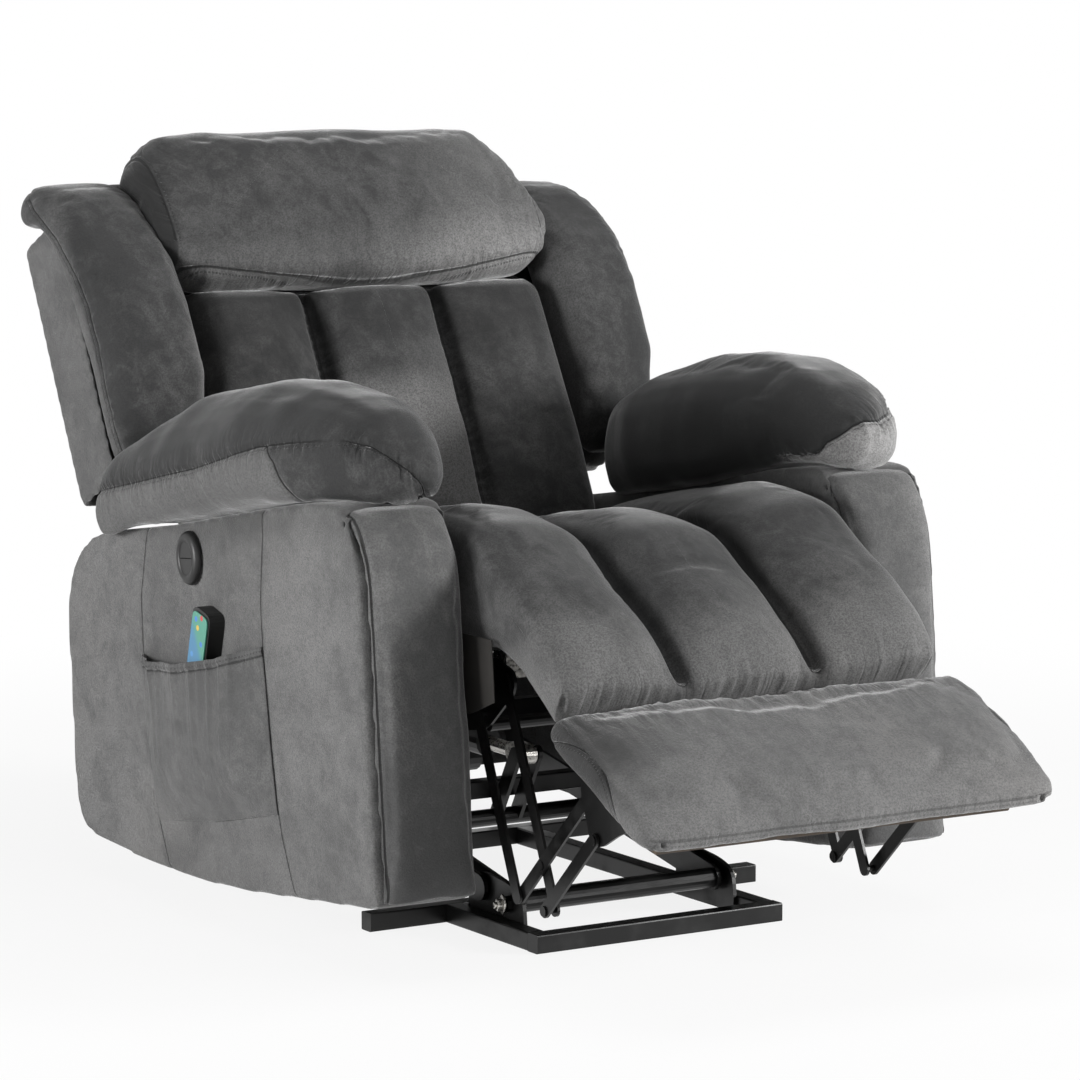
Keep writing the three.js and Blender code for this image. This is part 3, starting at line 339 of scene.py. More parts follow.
class Wire:
    # a socket that takes arithmetic, so shader maths reads as an expression
    def __init__(self, finish, socket):
        self.finish, self.socket = finish, socket

    def maths(self, operation, first, second):
        return self.finish.maths(operation, first, second)

    def __add__(self, other): return self.maths("ADD", self, other)
    def __radd__(self, other): return self.maths("ADD", other, self)
    def __sub__(self, other): return self.maths("SUBTRACT", self, other)
    def __rsub__(self, other): return self.maths("SUBTRACT", other, self)
    def __mul__(self, other): return self.maths("MULTIPLY", self, other)
    def __rmul__(self, other): return self.maths("MULTIPLY", other, self)


class Nodes:
    def __init__(self, tree):
        self.tree = tree

    def node(self, kind, settings=None, values=None, output=0):
        made = self.tree.nodes.new(kind)
        for name, value in (settings or {}).items():
            setattr(made, name, value)
        for key, value in (values or {}).items():
            if isinstance(value, Wire):
                self.tree.links.new(value.socket, made.inputs[key])
            else:
                made.inputs[key].default_value = value
        return Wire(self, made.outputs[output])

    def maths(self, operation, first, second):
        return self.node("ShaderNodeMath", {"operation": operation}, {0: first, 1: second})

    def seenDirectly(self):
        # 1 where something is seen straight, in a gloss or through glass, and else 0
        straight, gloss, glass = [self.node("ShaderNodeLightPath", output=kind) for kind in (
            "Is Camera Ray", "Is Glossy Ray", "Is Transmission Ray")]
        return self.maths("MAXIMUM", self.maths("MAXIMUM", straight, gloss), glass)


class Finish(Nodes):
    def __init__(self, name, **constants):
        self.material = bpy.data.materials.new(name)
        self.material.use_nodes = True
        super().__init__(self.material.node_tree)
        self.shader = self.tree.nodes["Principled BSDF"]
        for socket, value in constants.items():
            self.shader.inputs[socket.replace("_", " ")].default_value = value

    def place(self):
        return self.node("ShaderNodeTexCoord", output=3)

    def noise(self, scale, detail=2, rough=0.5, bend=0.0, place=None):
        return self.node("ShaderNodeTexNoise", None, {
            "Vector": place or self.place(), "Scale": scale, "Detail": detail,
            "Roughness": rough, "Distortion": bend})

    def stretched(self, scale, turn=(0, 0, 0)):
        turned = self.node("ShaderNodeMapping", None, {"Vector": self.place(), "Rotation": turn})
        return self.node("ShaderNodeMapping", None, {"Vector": turned, "Scale": scale})

    def vector(self, x, y, z):
        return self.node("ShaderNodeCombineXYZ", None, {0: x, 1: y, 2: z})

    def ramp(self, value, low, high):
        return self.node("ShaderNodeMapRange", {"interpolation_type": "SMOOTHSTEP"}, {
            "Value": value, "From Min": low, "From Max": high})

    def blend(self, share, first, second):
        return self.node("ShaderNodeMix", {"data_type": "RGBA"}, {0: share, 6: first, 7: second},
                         output=2)

    def painted(self, name):
        return self.node("ShaderNodeAttribute", {"attribute_name": name}, output=2)

    def bump(self, height, distance, strength, under=None):
        values = {"Height": height, "Distance": distance, "Strength": strength}
        if under:
            values["Normal"] = under
        return self.node("ShaderNodeBump", None, values)

    def feed(self, **wires):
        for socket, wire in wires.items():
            self.tree.links.new(wire.socket, self.shader.inputs[socket.replace("_", " ")])
        return self.material


def grey(level, warm=0.0):
    # a grey from its sRGB level out of 255, a little warm or cool
    linear = ((level / 255 + 0.055) / 1.055) ** 2.4 if level > 10 else level / 255 / 12.92
    return (linear * (1 + warm), linear, linear * (1 - warm), 1)


# pile colours: stroked dark or light, worn warm, the roots, painted light and painted shade,
# pebbling
velvetLook = {"dark": grey(52, -0.01), "light": grey(88, 0.002), "warm": grey(94, 0.02),
              "speck": grey(38), "paintedLit": grey(150, 0.01), "deep": grey(26), "pebble": 0.256}
sideLook = {"dark": grey(88), "light": grey(118, 0.008), "warm": grey(124, 0.03),
            "speck": grey(66), "paintedLit": grey(150, 0.01), "deep": grey(52), "pebble": 0.48}


def makeVelvet(name, look):
    finish = Finish(name, Roughness=0.85, Sheen_Weight=0.5, Sheen_Roughness=0.3,
                    Specular_IOR_Level=0.15)
    # nap: soft clouds where the pile was stroked one way or the other, plus each piece's painted
    # stroke, light and shade
    cloud = finish.noise(5.5, 3, 0.6, 1.0)
    stroke = finish.noise(1.0, 4, 0.6, 1.4, finish.stretched((16, 9, 7), (0.5, 0.35, 0.2)))
    fibre = finish.noise(1500, 2, 0.7)
    grainy = finish.noise(430, 3, 0.65, 0.6)
    napAndShading = finish.ramp(cloud * 0.35 + stroke * 0.3 + finish.noise(38, 3, 0.65, 0.8) * 0.35
                      + finish.painted("strokeAndShading") * 0.3, 0.36, 0.66)
    base = finish.blend(napAndShading, look["dark"], look["light"])
    warmth = finish.ramp(finish.noise(2.7, 2, 0.5, 0.5), 0.48, 0.75)
    base = finish.blend(warmth * napAndShading * 0.6, base, look["warm"])
    # painted light and shade: each piece's painted values, with a little cloud, make the pile
    # paler where painted lit and darker where painted shaded
    paintedShading = finish.painted("paintedShading") + (cloud - 0.5) * 0.25
    base = finish.blend(finish.ramp(paintedShading, 0.05, 1.0), base, look["paintedLit"])
    base = finish.blend(finish.ramp(paintedShading, -0.05, -1.0), base, look["deep"])
    speck = finish.ramp(grainy * 0.8 + fibre * 0.2, 0.4, 0.62)
    base = finish.blend(speck * 0.5, base, look["speck"])
    # seams, their stitches and the small puckers that they draw
    away, along = finish.painted("seamAway"), finish.painted("seamAlong")
    show = finish.painted("seamShow")
    far = finish.maths("ABSOLUTE", away, 0.0)
    line = finish.ramp(far, 0.0022, 0.0008)
    beside = finish.maths("ABSOLUTE", away + 0.0058, 0.0)
    dashes = finish.ramp(finish.maths("PINGPONG", along, 0.0026), 0.0006, 0.0011)
    stitch = finish.ramp(beside, 0.0013, 0.0005) * dashes
    crinkle = finish.noise(1.0, 1, 0.5, 0.4, finish.vector(along * 60, away * 26, show))
    valley = finish.ramp(finish.maths("ABSOLUTE", crinkle - 0.5, 0.0), 0.12, 0.0)
    pucker = valley * finish.painted("pucker")
    # painted shade in the valleys of the puckers
    base = finish.blend(pucker * 0.3, base, grey(40))
    base = finish.blend(line * show * 0.75, base, grey(22))
    base = finish.blend(stitch * show * 0.5, base, grey(40))
    soft = finish.bump(fibre, 0.0006, 0.3)
    leathery = finish.bump(grainy, 0.002, look["pebble"], soft)
    gathered = finish.bump(1 - pucker, 0.0022, 0.45, leathery)
    sewn = finish.bump(1 - line * show - stitch * show * 0.5, 0.0018, 0.7, gathered)
    return finish.feed(Base_Color=base, Roughness=0.72 + napAndShading * 0.2, Normal=sewn)


velvet = makeVelvet("charcoalVelvet", velvetLook)
sideVelvet = makeVelvet("pebbledVelvet", sideLook)


def makeSteel():
    finish = Finish("blackFrameEnamel", Roughness=0.36, Specular_IOR_Level=0.35)
    dirt = finish.ramp(finish.noise(14, 4, 0.6), 0.45, 0.8)
    orange = finish.noise(900, 2, 0.5)
    base = finish.blend(dirt * 0.4, grey(6), grey(18, 0.03))
    return finish.feed(Base_Color=base, Roughness=0.3 + dirt * 0.3,
                       Normal=finish.bump(orange, 0.0002, 0.25))


def makeZinc():
    finish = Finish("zincPlate", Metallic=1.0, Roughness=0.3)
    spots = finish.ramp(finish.noise(210, 3, 0.6), 0.35, 0.7)
    base = finish.blend(spots, (0.42, 0.41, 0.39, 1), (0.66, 0.64, 0.6, 1))
    return finish.feed(Base_Color=base, Roughness=0.24 + spots * 0.22,
                       Normal=finish.bump(finish.noise(1500, 2), 0.0001, 0.3))


def makePly():
    finish = Finish("plyBoard", Roughness=0.6)
    rings = finish.noise(1.0, 4, 0.6, 1.6, finish.stretched((60, 9, 60)))
    base = finish.blend(finish.ramp(rings, 0.3, 0.7), (0.035, 0.024, 0.015, 1),
                        (0.07, 0.048, 0.03, 1))
    return finish.feed(Base_Color=base, Roughness=0.5 + rings * 0.3,
                       Normal=finish.bump(rings, 0.0006, 0.4))


def makePlastic():
    finish = Finish("blackPlastic", Roughness=0.4)
    grainy = finish.noise(1800, 2, 0.6)
    worn = finish.ramp(finish.noise(40, 3), 0.5, 0.8)
    base = finish.blend(worn * 0.5, grey(10), grey(24))
    return finish.feed(Base_Color=base, Roughness=0.34 + grainy * 0.2,
                       Normal=finish.bump(grainy, 0.00015, 0.4))


# the keypad: its two ends, its dots as y, z and colour, and its face
keypad = {"rear": (0.035, 0.17, 0.32, 1), "front": (0.05, 0.25, 0.17, 1), "face": -0.4766,
          "dots": [(0.1017, 0.413, (0.03, 0.16, 0.5, 1)), (0.086, 0.4156, (0.5, 0.02, 0.02, 1)),
                   (0.0974, 0.4014, (0.6, 0.4, 0.03, 1)), (0.089, 0.3799, (0.03, 0.16, 0.5, 1)),
                   (0.1151, 0.3643, (0.05, 0.22, 0.5, 1))]}


def makeOverlay():
    finish = Finish("keypadOverlay", Roughness=0.35, Coat_Weight=0.3)
    place = finish.place()
    height = finish.node("ShaderNodeSeparateXYZ", None, {"Vector": place}, output=2)
    along = finish.node("ShaderNodeSeparateXYZ", None, {"Vector": place}, output=1)
    share = finish.ramp(height * 0.5 - along + finish.noise(40, 2) * 0.01, 0.085, 0.105)
    base = finish.blend(share, keypad["rear"], keypad["front"])
    for y, z, colour in keypad["dots"]:
        far = finish.node("ShaderNodeVectorMath", {"operation": "DISTANCE"}, {
            0: place, 1: (keypad["face"], y, z)}, output=1)
        base = finish.blend(finish.ramp(far, 0.0042, 0.0034), base, colour)
    speck = finish.noise(1600, 2)
    return finish.feed(Base_Color=finish.blend(speck * 0.2, base, (0.02, 0.1, 0.12, 1)),
                       Normal=finish.bump(speck, 0.0001, 0.2))


def makeLining():
    finish = Finish("thinLining", Roughness=0.9, Specular_IOR_Level=0.2)
    weave = finish.noise(900, 2, 0.6)
    cloud = finish.ramp(finish.noise(9, 3, 0.6), 0.35, 0.7)
    base = finish.blend(cloud * 0.6, grey(38, 0.06), grey(56, 0.08))
    return finish.feed(Base_Color=finish.blend(weave * 0.3, base, grey(24)),
                       Roughness=0.8 + weave * 0.15, Normal=finish.bump(weave, 0.0004, 0.4))


steel, zinc, ply, plastic, overlay, lining = (
    makeSteel(), makeZinc(), makePly(), makePlastic(), makeOverlay(), makeLining())


def dressNodes():
    for name, part in nodes.items():
        look = steel
        if name in ("actuator_rod", "seat_spring_deck"):
            look = zinc
        elif name in ("footrest_board", "back_frame"):
            look = ply
        elif name.startswith(("switch", "handset_shell", "actuator_housing")):
            look = plastic
        elif name == "handset_keypad":
            look = overlay
        elif name.startswith(("seat", "arm_pad", "arm_front", "chaise", "back", "headrest",
                              "footrest_bolster")) and "bracket" not in name:
            look = velvet
        elif name in ("rear_panel", "side_pocket") or name.startswith("arm_box"):
            look = sideVelvet
        for socket in part.material_slots:
            socket.material = look


dressNodes()
print("materials made")


def finishSoft(piece, form, look, body):
    # material, slot and body of a padded cover (body is None where it is blended)
    piece.data.materials.clear()
    piece.data.materials.append(look)
    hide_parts(*form["nodes"])
    if body:
        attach(piece, body)
    print(piece.name, len(piece.data.polygons), "faces")


# headrest pillow

headrest = {"nodes": ["headrest_pillow"], "voxel": 0.006, "inset": 0.012, "pressure": 5,
            "slack": 0.05, "seamX": 0.306}


def makeHeadrest():
    pillow, solid = softForm("headrestPillow", headrest)
    swell(pillow, headrest, held=backPlace(pointsOf(pillow))[2] < 0.11)
    keepNear(pillow, solid, 0.008)
    refine(pillow)
    points = pointsOf(pillow)
    x, u, v = backPlace(points)
    # the right end is drawn in towards its top
    points[:, 0] -= 0.035 * smoothstep(x, 0.16, 0.33) * smoothstep(u, 0.36, 0.52)
    movePoints(pillow, points)
    top = smoothstep(u, 0.3, 0.36) * smoothstep(v, 0.1, 0.14)
    ends = {"across": np.abs(x) - headrest["seamX"], "along": u + v, "depth": 0.003,
            "width": 0.006, "gather": 0.0025, "reach": 0.03, "reachUnder": 0.05, "wave": 0.016,
            "where": top, "pucker": 0.8}
    bottom = {"across": u - 0.282 - 0.33 * x * x, "along": x, "depth": 0.003, "width": 0.005,
              "gather": 0.0025, "reach": 0.05, "wave": 0.018, "pucker": 0.7,
              "where": smoothstep(v, 0.17, 0.2)}
    # the pile's stroke with painted light and shade: lighter low down, darker over the top, and
    # painted shade over the left end
    strokeAndShading = 0.5 * smoothstep(-u, -0.42, -0.3) - 0.3 * smoothstep(u, 0.42, 0.5) - 1.6 * (
        smoothstep(-x, 0.303, 0.309) * smoothstep(-u, -0.49, -0.46))
    folds = 0.0035 * np.sin((u * 0.75 + x * 0.65) * 38 + 1.5 * np.sin(x * 9)) * smoothstep(
        v, 0.16, 0.21) * smoothstep(0.27 - np.abs(x), 0, 0.12) * (0.4 + 0.6 * grain(
            x / 0.12, u / 0.08, 0 * x, 5))
    movePoints(pillow, pointsOf(pillow) + pointsOf(pillow, "normal") * folds[:, None])
    # painted light towards the right and low down, painted shade on the left end gusset
    gusset = smoothstep(-x, 0.303, 0.31) * smoothstep(v, 0.1, 0.14)
    paintedShading = 0.4 * smoothstep(x, -0.05, 0.2) + 0.3 * smoothstep(-u, -0.38, -0.3) - 0.6 * gusset
    sew(pillow, [ends, bottom], [(0.13, 0.004), (0.05, 0.0015)], strokeAndShading, paintedShading)
    finishSoft(pillow, headrest, velvet, "back")


# back cushion with its three upright channels

backRest = {"nodes": ["back_cushion"], "voxel": 0.007, "inset": 0.01, "pressure": 5,
            "slack": 0.03, "channel": 0.105}


def makeBackCushion():
    cushion, solid = softForm("backCushion", backRest)
    x, u, v = backPlace(pointsOf(cushion))
    creased = np.abs(np.abs(x) - backRest["channel"]) < 0.006
    swell(cushion, backRest, held=(creased | (v < 0.12)))
    keepNear(cushion, solid, 0.004)
    refine(cushion)
    x, u, v = backPlace(pointsOf(cushion))
    seams = [{"across": x - side * backRest["channel"], "along": u, "depth": 0.016,
              "width": 0.009, "gather": 0.0016, "reach": 0.03, "wave": 0.02, "show": 0.6,
              "pucker": 0.4, "where": smoothstep(v, 0.12, 0.16)} for side in (-1, 1)]
    # painted light on the lower middle channel, painted shade over the upper part and on the two
    # outer channels
    low = smoothstep(-u, -0.22, -0.06)
    paintedShading = 0.75 * low * smoothstep(0.11 - np.abs(x), 0, 0.03) - 0.3 * (1 - low) - 0.2 * (
        smoothstep(np.abs(x), 0.1, 0.13))
    sew(cushion, seams, [(0.12, 0.003), (0.05, 0.001)], 0.0, paintedShading)
    finishSoft(cushion, backRest, velvet, "back")


# side wings of the back

wing = {"voxel": 0.006, "inset": 0.004, "pressure": 4, "slack": 0.03, "soften": 5,
        "seamU": [0.0, 0.14, 0.205, 0.263, 0.307, 0.386, 0.465, 0.5],
        "seamV": [0.16, 0.183, 0.192, 0.1935, 0.185, 0.155, 0.1, 0.07],
        "middle": 0.3765, "half": 0.0765, "bulge": 0.01, "corner": 0.68}
# up the back: rear, front and width share of the wing
wingRows = [(0.015, 0.13, 0.155, 0.55), (0.03, 0.126, 0.175, 0.76), (0.055, 0.124, 0.192, 0.88),
            (0.09, 0.124, 0.212, 0.96), (0.15, 0.1243, 0.241, 1.0), (0.255, 0.1243, 0.244, 1.0),
            (0.33, 0.1243, 0.22, 1.0), (0.375, 0.121, 0.199, 1.0), (0.41, 0.1, 0.183, 1.0),
            (0.4335, 0.075, 0.171, 1.0)]
capRows = [(0.4348, 0.056, 0.169, 1.0), (0.446, 0.034, 0.162, 1.0), (0.462, 0.024, 0.149, 0.97),
           (0.478, 0.03, 0.131, 0.9), (0.49, 0.043, 0.112, 0.78), (0.4975, 0.06, 0.09, 0.56)]


def wingCover(sign):
    # a long bag in front of the shell, with a cap that lies over its shoulder
    turn = np.linspace(0, 2 * math.pi, 56, endpoint=False)
    c = np.sign(np.cos(turn)) * np.abs(np.cos(turn)) ** wing["corner"]
    f = np.sign(np.sin(turn)) * np.abs(np.sin(turn)) ** wing["corner"]
    slant, lean = math.sin(backTilt["turn"]), math.cos(backTilt["turn"])
    rings = []
    table = np.array(wingRows)
    lower = np.linspace(table[0, 0], table[-1, 0], 60)
    stations = [(u, *[np.interp(u, table[:, 0], table[:, k]) for k in (1, 2, 3)]) for u in lower]
    for u, rear, front, wide in stations + capRows:
        v = (rear + front) / 2 + f * (front - rear) / 2
        full = wing["half"] + wing["bulge"] * (c > 0) * smoothstep(u, 0.2, 0.4)
        x = sign * (wing["middle"] + c * wide * full)
        rings.append(np.stack((x, backTilt["y"] + u * slant - v * lean,
                               backTilt["z"] + u * lean + v * slant), axis=1))
    return loftCover(rings)


def makeWing(side, sign):
    form = dict(wing, nodes=["back_wing_" + side], cover=lambda: wingCover(sign))
    piece, solid = softForm("backWing" + side.title(), form)
    swell(piece, form, held=backPlace(pointsOf(piece))[2] < 0.14)
    keepNear(piece, solid, 0.003)
    refine(piece)
    points = pointsOf(piece)
    x, u, v = backPlace(points)
    if side == "right":
        # this one was stuffed a little less at its top
        points[:, 0] -= 0.006 * smoothstep(x, 0.38, 0.45)
        points[:, 2] -= 0.016 * smoothstep(u, 0.3, 0.48)
        movePoints(piece, points)
        x, u, v = backPlace(points)
    outer = {"across": v - np.interp(u, wing["seamU"], wing["seamV"]), "along": u,
             "depth": 0.003, "width": 0.005, "gather": 0.0026, "reach": 0.018,
             "reachUnder": 0.008, "wave": 0.016, "pucker": 0.7,
             "where": smoothstep(sign * x, 0.40, 0.425)}
    # painted light and shade: inner side lighter, outer front darker; the lower inner flank
    # painted lit on the left wing and shaded on the right, the outer rear lighter and the top
    # painted into shade
    strokeAndShading = 0.3 * smoothstep(-sign * x, -0.36, -0.3) - 0.35 * smoothstep(
        sign * x, 0.36, 0.42) * smoothstep(v, 0.15, 0.2)
    flank = smoothstep(-sign * x, -0.35, -0.3) * smoothstep(-u, -0.32, -0.1)
    gusset = smoothstep(sign * x, 0.41, 0.45) * smoothstep(-v, -0.2, -0.17)
    paintedShading = (0.6 if side == "left" else -0.5) * flank + 0.3 * gusset - 0.35 * smoothstep(
        u, 0.38, 0.48)
    sew(piece, [outer], [(0.1, 0.002), (0.045, 0.001)], strokeAndShading, paintedShading)
    finishSoft(piece, form, velvet, "back")


# shell of the back, covered in the side fabric

shell = {"nodes": ["back_shell"], "voxel": 0.011, "soften": 2}


def makeShell():
    piece, _ = softForm("backShellCover", shell)
    refine(piece)
    # painted shade, even over the whole cover
    sew(piece, [], [(0.16, 0.0015)], 0.0, -0.25)
    finishSoft(piece, shell, sideVelvet, "back")


# arm pads: top panel over a gusset, gathered round the front

armPad = {"voxel": 0.006, "inset": 0.012, "pressure": 6, "slack": 0.05,
          "seamAlong": [-0.03, 0.04, 0.119, 0.1835, 0.274, 0.36, 0.531, 0.68],
          "seamUp": [0.58, 0.6, 0.5986, 0.5947, 0.58, 0.567, 0.5486, 0.535],
          "panelAlong": [0.13, 0.151, 0.1826], "panelUp": [0.52, 0.575, 0.608]}
padNoses = {
    "left": {"x": [0.31, 0.34, 0.3623, 0.388, 0.4093, 0.4324, 0.4655],
             "up": [0.5, 0.5215, 0.5446, 0.569, 0.5907, 0.5999, 0.6], "front": (-0.06, -0.02)},
    "right": {"x": [0.285, 0.297, 0.302, 0.327, 0.369, 0.4035, 0.45],
              "up": [0.5, 0.534, 0.554, 0.5766, 0.5946, 0.6068, 0.607], "front": (-0.14, -0.09)},
}


def makeArmPad(side, sign):
    form = dict(armPad, nodes=["arm_pad_" + side])
    nose = padNoses[side]
    piece, solid = softForm("armPad" + side.title(), form)
    x, along, up = armPlace(pointsOf(piece))
    swell(piece, form, held=(up < 0.5) | ((sign * x < 0.3) & (along > 0.25)))
    keepNear(piece, solid, 0.008)
    x, along, up = armPlace(pointsOf(piece))
    relax(piece, smoothstep(along, 0.52, 0.57), 40)
    refine(piece)
    points = pointsOf(piece)
    x, along, up = armPlace(points)
    plump = smoothstep(along, 0.1, 0.3) * smoothstep(-sign * x, -0.36, -0.29)
    points[:, 0] -= sign * 0.02 * plump
    points[:, 2] -= 0.03 * plump * smoothstep(-up, -0.6, -0.56)
    movePoints(piece, points)
    x, along, up = armPlace(points)
    reach = sign * x
    line = np.minimum(np.interp(along, armPad["seamAlong"], armPad["seamUp"]),
                      np.interp(reach, nose["x"], nose["up"]))
    outside = smoothstep(reach, 0.43, 0.46)
    front = smoothstep(-along, *nose["front"])
    shown = np.maximum(outside, front)
    gusset = {"across": up - line, "along": along + 1.2 * reach * front, "depth": 0.004,
              "width": 0.005, "gather": 0.0022 + 0.004 * front, "reach": 0.012,
              "reachUnder": 0.02, "wave": 0.013, "where": shown, "pucker": 1.0}
    panel = {"across": along - np.interp(up, armPad["panelUp"], armPad["panelAlong"]),
             "along": up, "depth": 0.004, "width": 0.004, "gather": 0.001, "reach": 0.015,
             "wave": 0.02, "where": outside * smoothstep(line - up, -0.004, 0.002)}
    below = smoothstep(line - up, 0.0, 0.003) * shown
    behind = smoothstep(along - np.interp(up, armPad["panelUp"], armPad["panelAlong"]), 0, 0.003)
    # painted light and shade: on the left pad the outer rear gusset lighter and the rear top
    # darker; on the right pad the gusset and crown painted lit and the inner flank painted into
    # shade
    if side == "left":
        share = behind * outside
        paintedShading = 0.3 * below * share - 0.35 * smoothstep(along, 0.35, 0.55) * (1 - below)
    else:
        share = 1.0
        crown = smoothstep(reach, 0.33, 0.4) * (1 - below)
        flank = smoothstep(-reach, -0.33, -0.28)
        paintedShading = (0.45 + 0.5 * front) * below + 0.45 * crown - 0.5 * flank
    strokeAndShading = below * (0.35 + 1.5 * share) - 0.45
    sew(piece, [gusset, panel], [(0.1, 0.004), (0.045, 0.0022)], strokeAndShading, paintedShading)
    finishSoft(piece, form, velvet, "chair")


# arm boxes and their padded fronts

armBox = {"voxel": 0.008, "soften": 4, "seamUp": [0.0, 0.08, 0.12, 0.2, 0.33, 0.39, 0.48],
          "seams": ([0.2, 0.228, 0.236, 0.243, 0.251, 0.25, 0.235],
                    [0.55, 0.577, 0.585, 0.598, 0.602, 0.6, 0.572])}


def makeArmBox(side, sign):
    form = dict(armBox, nodes=["arm_box_" + side])
    piece, _ = softForm("armBox" + side.title(), form)
    refine(piece)
    x, along, up = armPlace(pointsOf(piece))
    outside = smoothstep(sign * x, 0.44, 0.448)
    seams = [{"across": along - np.interp(up, armBox["seamUp"], place), "along": up,
              "depth": 0.002, "width": 0.004, "gather": 0.0006, "reach": 0.02, "wave": 0.03,
              "where": outside, "pucker": 0.15} for place in armBox["seams"]]
    # painted light at the rear end, painted shade along the top and over the middle, and the
    # whole box a little darker
    centre = smoothstep(along, 0.2, 0.26) * smoothstep(-along, -0.6, -0.55)
    sew(piece, seams, [(0.15, 0.0015)], 0.15, 0.2 * smoothstep(along, 0.6, 0.66)
        - 0.3 * smoothstep(up, 0.44, 0.5) - 0.15 * centre - 0.1)
    finishSoft(piece, form, sideVelvet, "chair")


frontPanel = {"voxel": 0.006, "inset": 0.004, "pressure": 4, "slack": 0.03, "middle": 0.375,
              "band": 0.0645}


def makeFrontPanel(side, sign):
    form = dict(frontPanel, nodes=["arm_front_panel_" + side])
    piece, solid = softForm("armFront" + side.title(), form)
    swell(piece, form)
    keepNear(piece, solid, 0.004)
    refine(piece)
    x, along, up = armPlace(pointsOf(piece))
    middle = frontPanel["middle"]
    # a flat seam band runs down the panel's outer edge
    band = {"across": frontPanel["band"] - np.abs(sign * x - middle), "along": up, "depth": 0.003,
            "width": 0.004, "gather": 0.0012, "reach": 0.02, "wave": 0.03, "pucker": 0.25,
            "where": smoothstep(sign * x - middle, 0.0, 0.02)}
    # painted light and shade: darker low down and lighter on the outer band; the left panel
    # painted into shade low at its front, the right one painted lighter towards its outer side
    strokeAndShading = -0.35 * smoothstep(-up, -0.36, -0.05) - 0.15 + 0.25 * smoothstep(
        sign * x - middle, 0.01, 0.05)
    paintedShading = -0.35 * smoothstep(-along, -0.06, 0.0) * smoothstep(-up, -0.4, -0.1)
    if side == "right":
        paintedShading = 0.3 * smoothstep(x, middle, 0.43)
    sew(piece, [band], [(0.14, 0.0025), (0.06, 0.001)], strokeAndShading, paintedShading)
    finishSoft(piece, form, sideVelvet, "chair")


# pocket on the side of the arm

pocketBag = {"wall": 0.4513, "columns": 130, "rows": 84, "foot": [0.11, 0.09, 0.082],
             "mouthAlong": [0.25, 0.335, 0.44, 0.522, 0.6],
             "mouthUp": [0.332, 0.315, 0.305, 0.305, 0.312],
             "belly": 0.031, "gather": 0.0042, "fold": 0.006, "hem": 0.0125}


def makePocket():
    # a sheet hung between two seams, with a gathered elastic hem along its mouth
    side, share = np.meshgrid(np.linspace(0, 1, pocketBag["columns"] + 1),
                              np.linspace(0, 1, pocketBag["rows"] + 1))
    mouth = np.interp(0.251 + 0.347 * side, pocketBag["mouthAlong"], pocketBag["mouthUp"])
    foot = np.interp(side, [0, 0.5, 1], pocketBag["foot"])
    up = foot + (mouth - foot) * share
    under = mouth - up
    near, far = [np.interp(up, armBox["seamUp"], place) for place in armBox["seams"]]
    along = near * (1 - side) + far * side
    belly = np.maximum(0, 1 - np.abs(2 * side - 1) ** 3.2) * np.sin(
        np.minimum(1, share * 2.2) * math.pi / 2)
    hem = 0.002 * np.exp(-((under - 0.006) / 0.005) ** 2)
    nick = 0.002 * np.exp(-((under - 0.012) / 0.003) ** 2)
    crimp = gathers(along + 0.15 * under * (side - 0.5), 0 * along, 0.024, 2) * (
        pocketBag["gather"] * np.exp(-16.2 * under) + 0.0012 * share)
    slack = pocketBag["fold"] * share * (1.1 - share) * np.sin(
        along * 46 + 2.4 * np.sin(share * 3 + along * 7))
    edge = np.minimum(1, 8 * np.minimum(side, 1 - side))
    out = (pocketBag["wall"] + 0.0006 + 0.0024 * edge + hem + (pocketBag["belly"] - nick) * belly
           + (crimp + slack) * np.minimum(1, belly * 2))
    piece = gridSheet("sidePocketBag", [[armPoint(*place) for place in zip(*line)]
                                        for line in zip(-out, along, up)])
    away = under.ravel() - pocketBag["hem"]
    # painted shade, even over the whole pocket
    paint = {"seamAway": away, "seamAlong": along.ravel(), "seamShow": 0.8 + 0 * away,
             "pucker": 0.35 * np.exp(-np.abs(away) / 0.03), "strokeAndShading": -0.12 + 0 * away,
             "paintedShading": -0.25 + 0 * away}
    for name, values in paint.items():
        paintPoints(piece, name, values)
    thick = piece.modifiers.new("thick", "SOLIDIFY")
    thick.thickness = 0.0022
    thick.offset = -1
    refine(piece)
    piece.data.materials.append(sideVelvet)
    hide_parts("side_pocket")
    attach(piece, "chair")
    print(piece.name, len(piece.data.polygons), "faces")


# inner flaps of thin lining beside the footrest linkage

liningFlap = {"y": [-0.35, -0.33, -0.29, -0.25, -0.2, -0.14, -0.1],
              "low": [0.347, 0.338, 0.324, 0.343, 0.33, 0.322, 0.33],
              "front": -0.352, "length": 0.25, "top": 0.428, "wall": 0.2912, "lean": 0.004,
              "sway": 0.0012, "columns": 40, "rows": 24}


def makeFlap(side, sign):
    run, share = np.meshgrid(np.linspace(0, 1, liningFlap["columns"] + 1),
                             np.linspace(0, 1, liningFlap["rows"] + 1))
    y = liningFlap["front"] + liningFlap["length"] * run
    low = np.interp(y, liningFlap["y"], liningFlap["low"])
    z = low + (liningFlap["top"] - low) * share
    x = sign * (liningFlap["wall"] - liningFlap["lean"] * (1 - share)) - (
        liningFlap["sway"] * np.sin(y * 90) * (1 - share))
    piece = gridSheet("liningFlap" + side.title(), [list(zip(*line)) for line in zip(x, y, z)])
    thick = piece.modifiers.new("thick", "SOLIDIFY")
    thick.thickness = 0.0012
    thick.offset = 0
    applyAll(piece)
    bpy.ops.object.shade_smooth_by_angle(angle=0.6)
    piece.data.materials.append(lining)
    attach(piece, "chair")


# bright bolts on the lift pivots

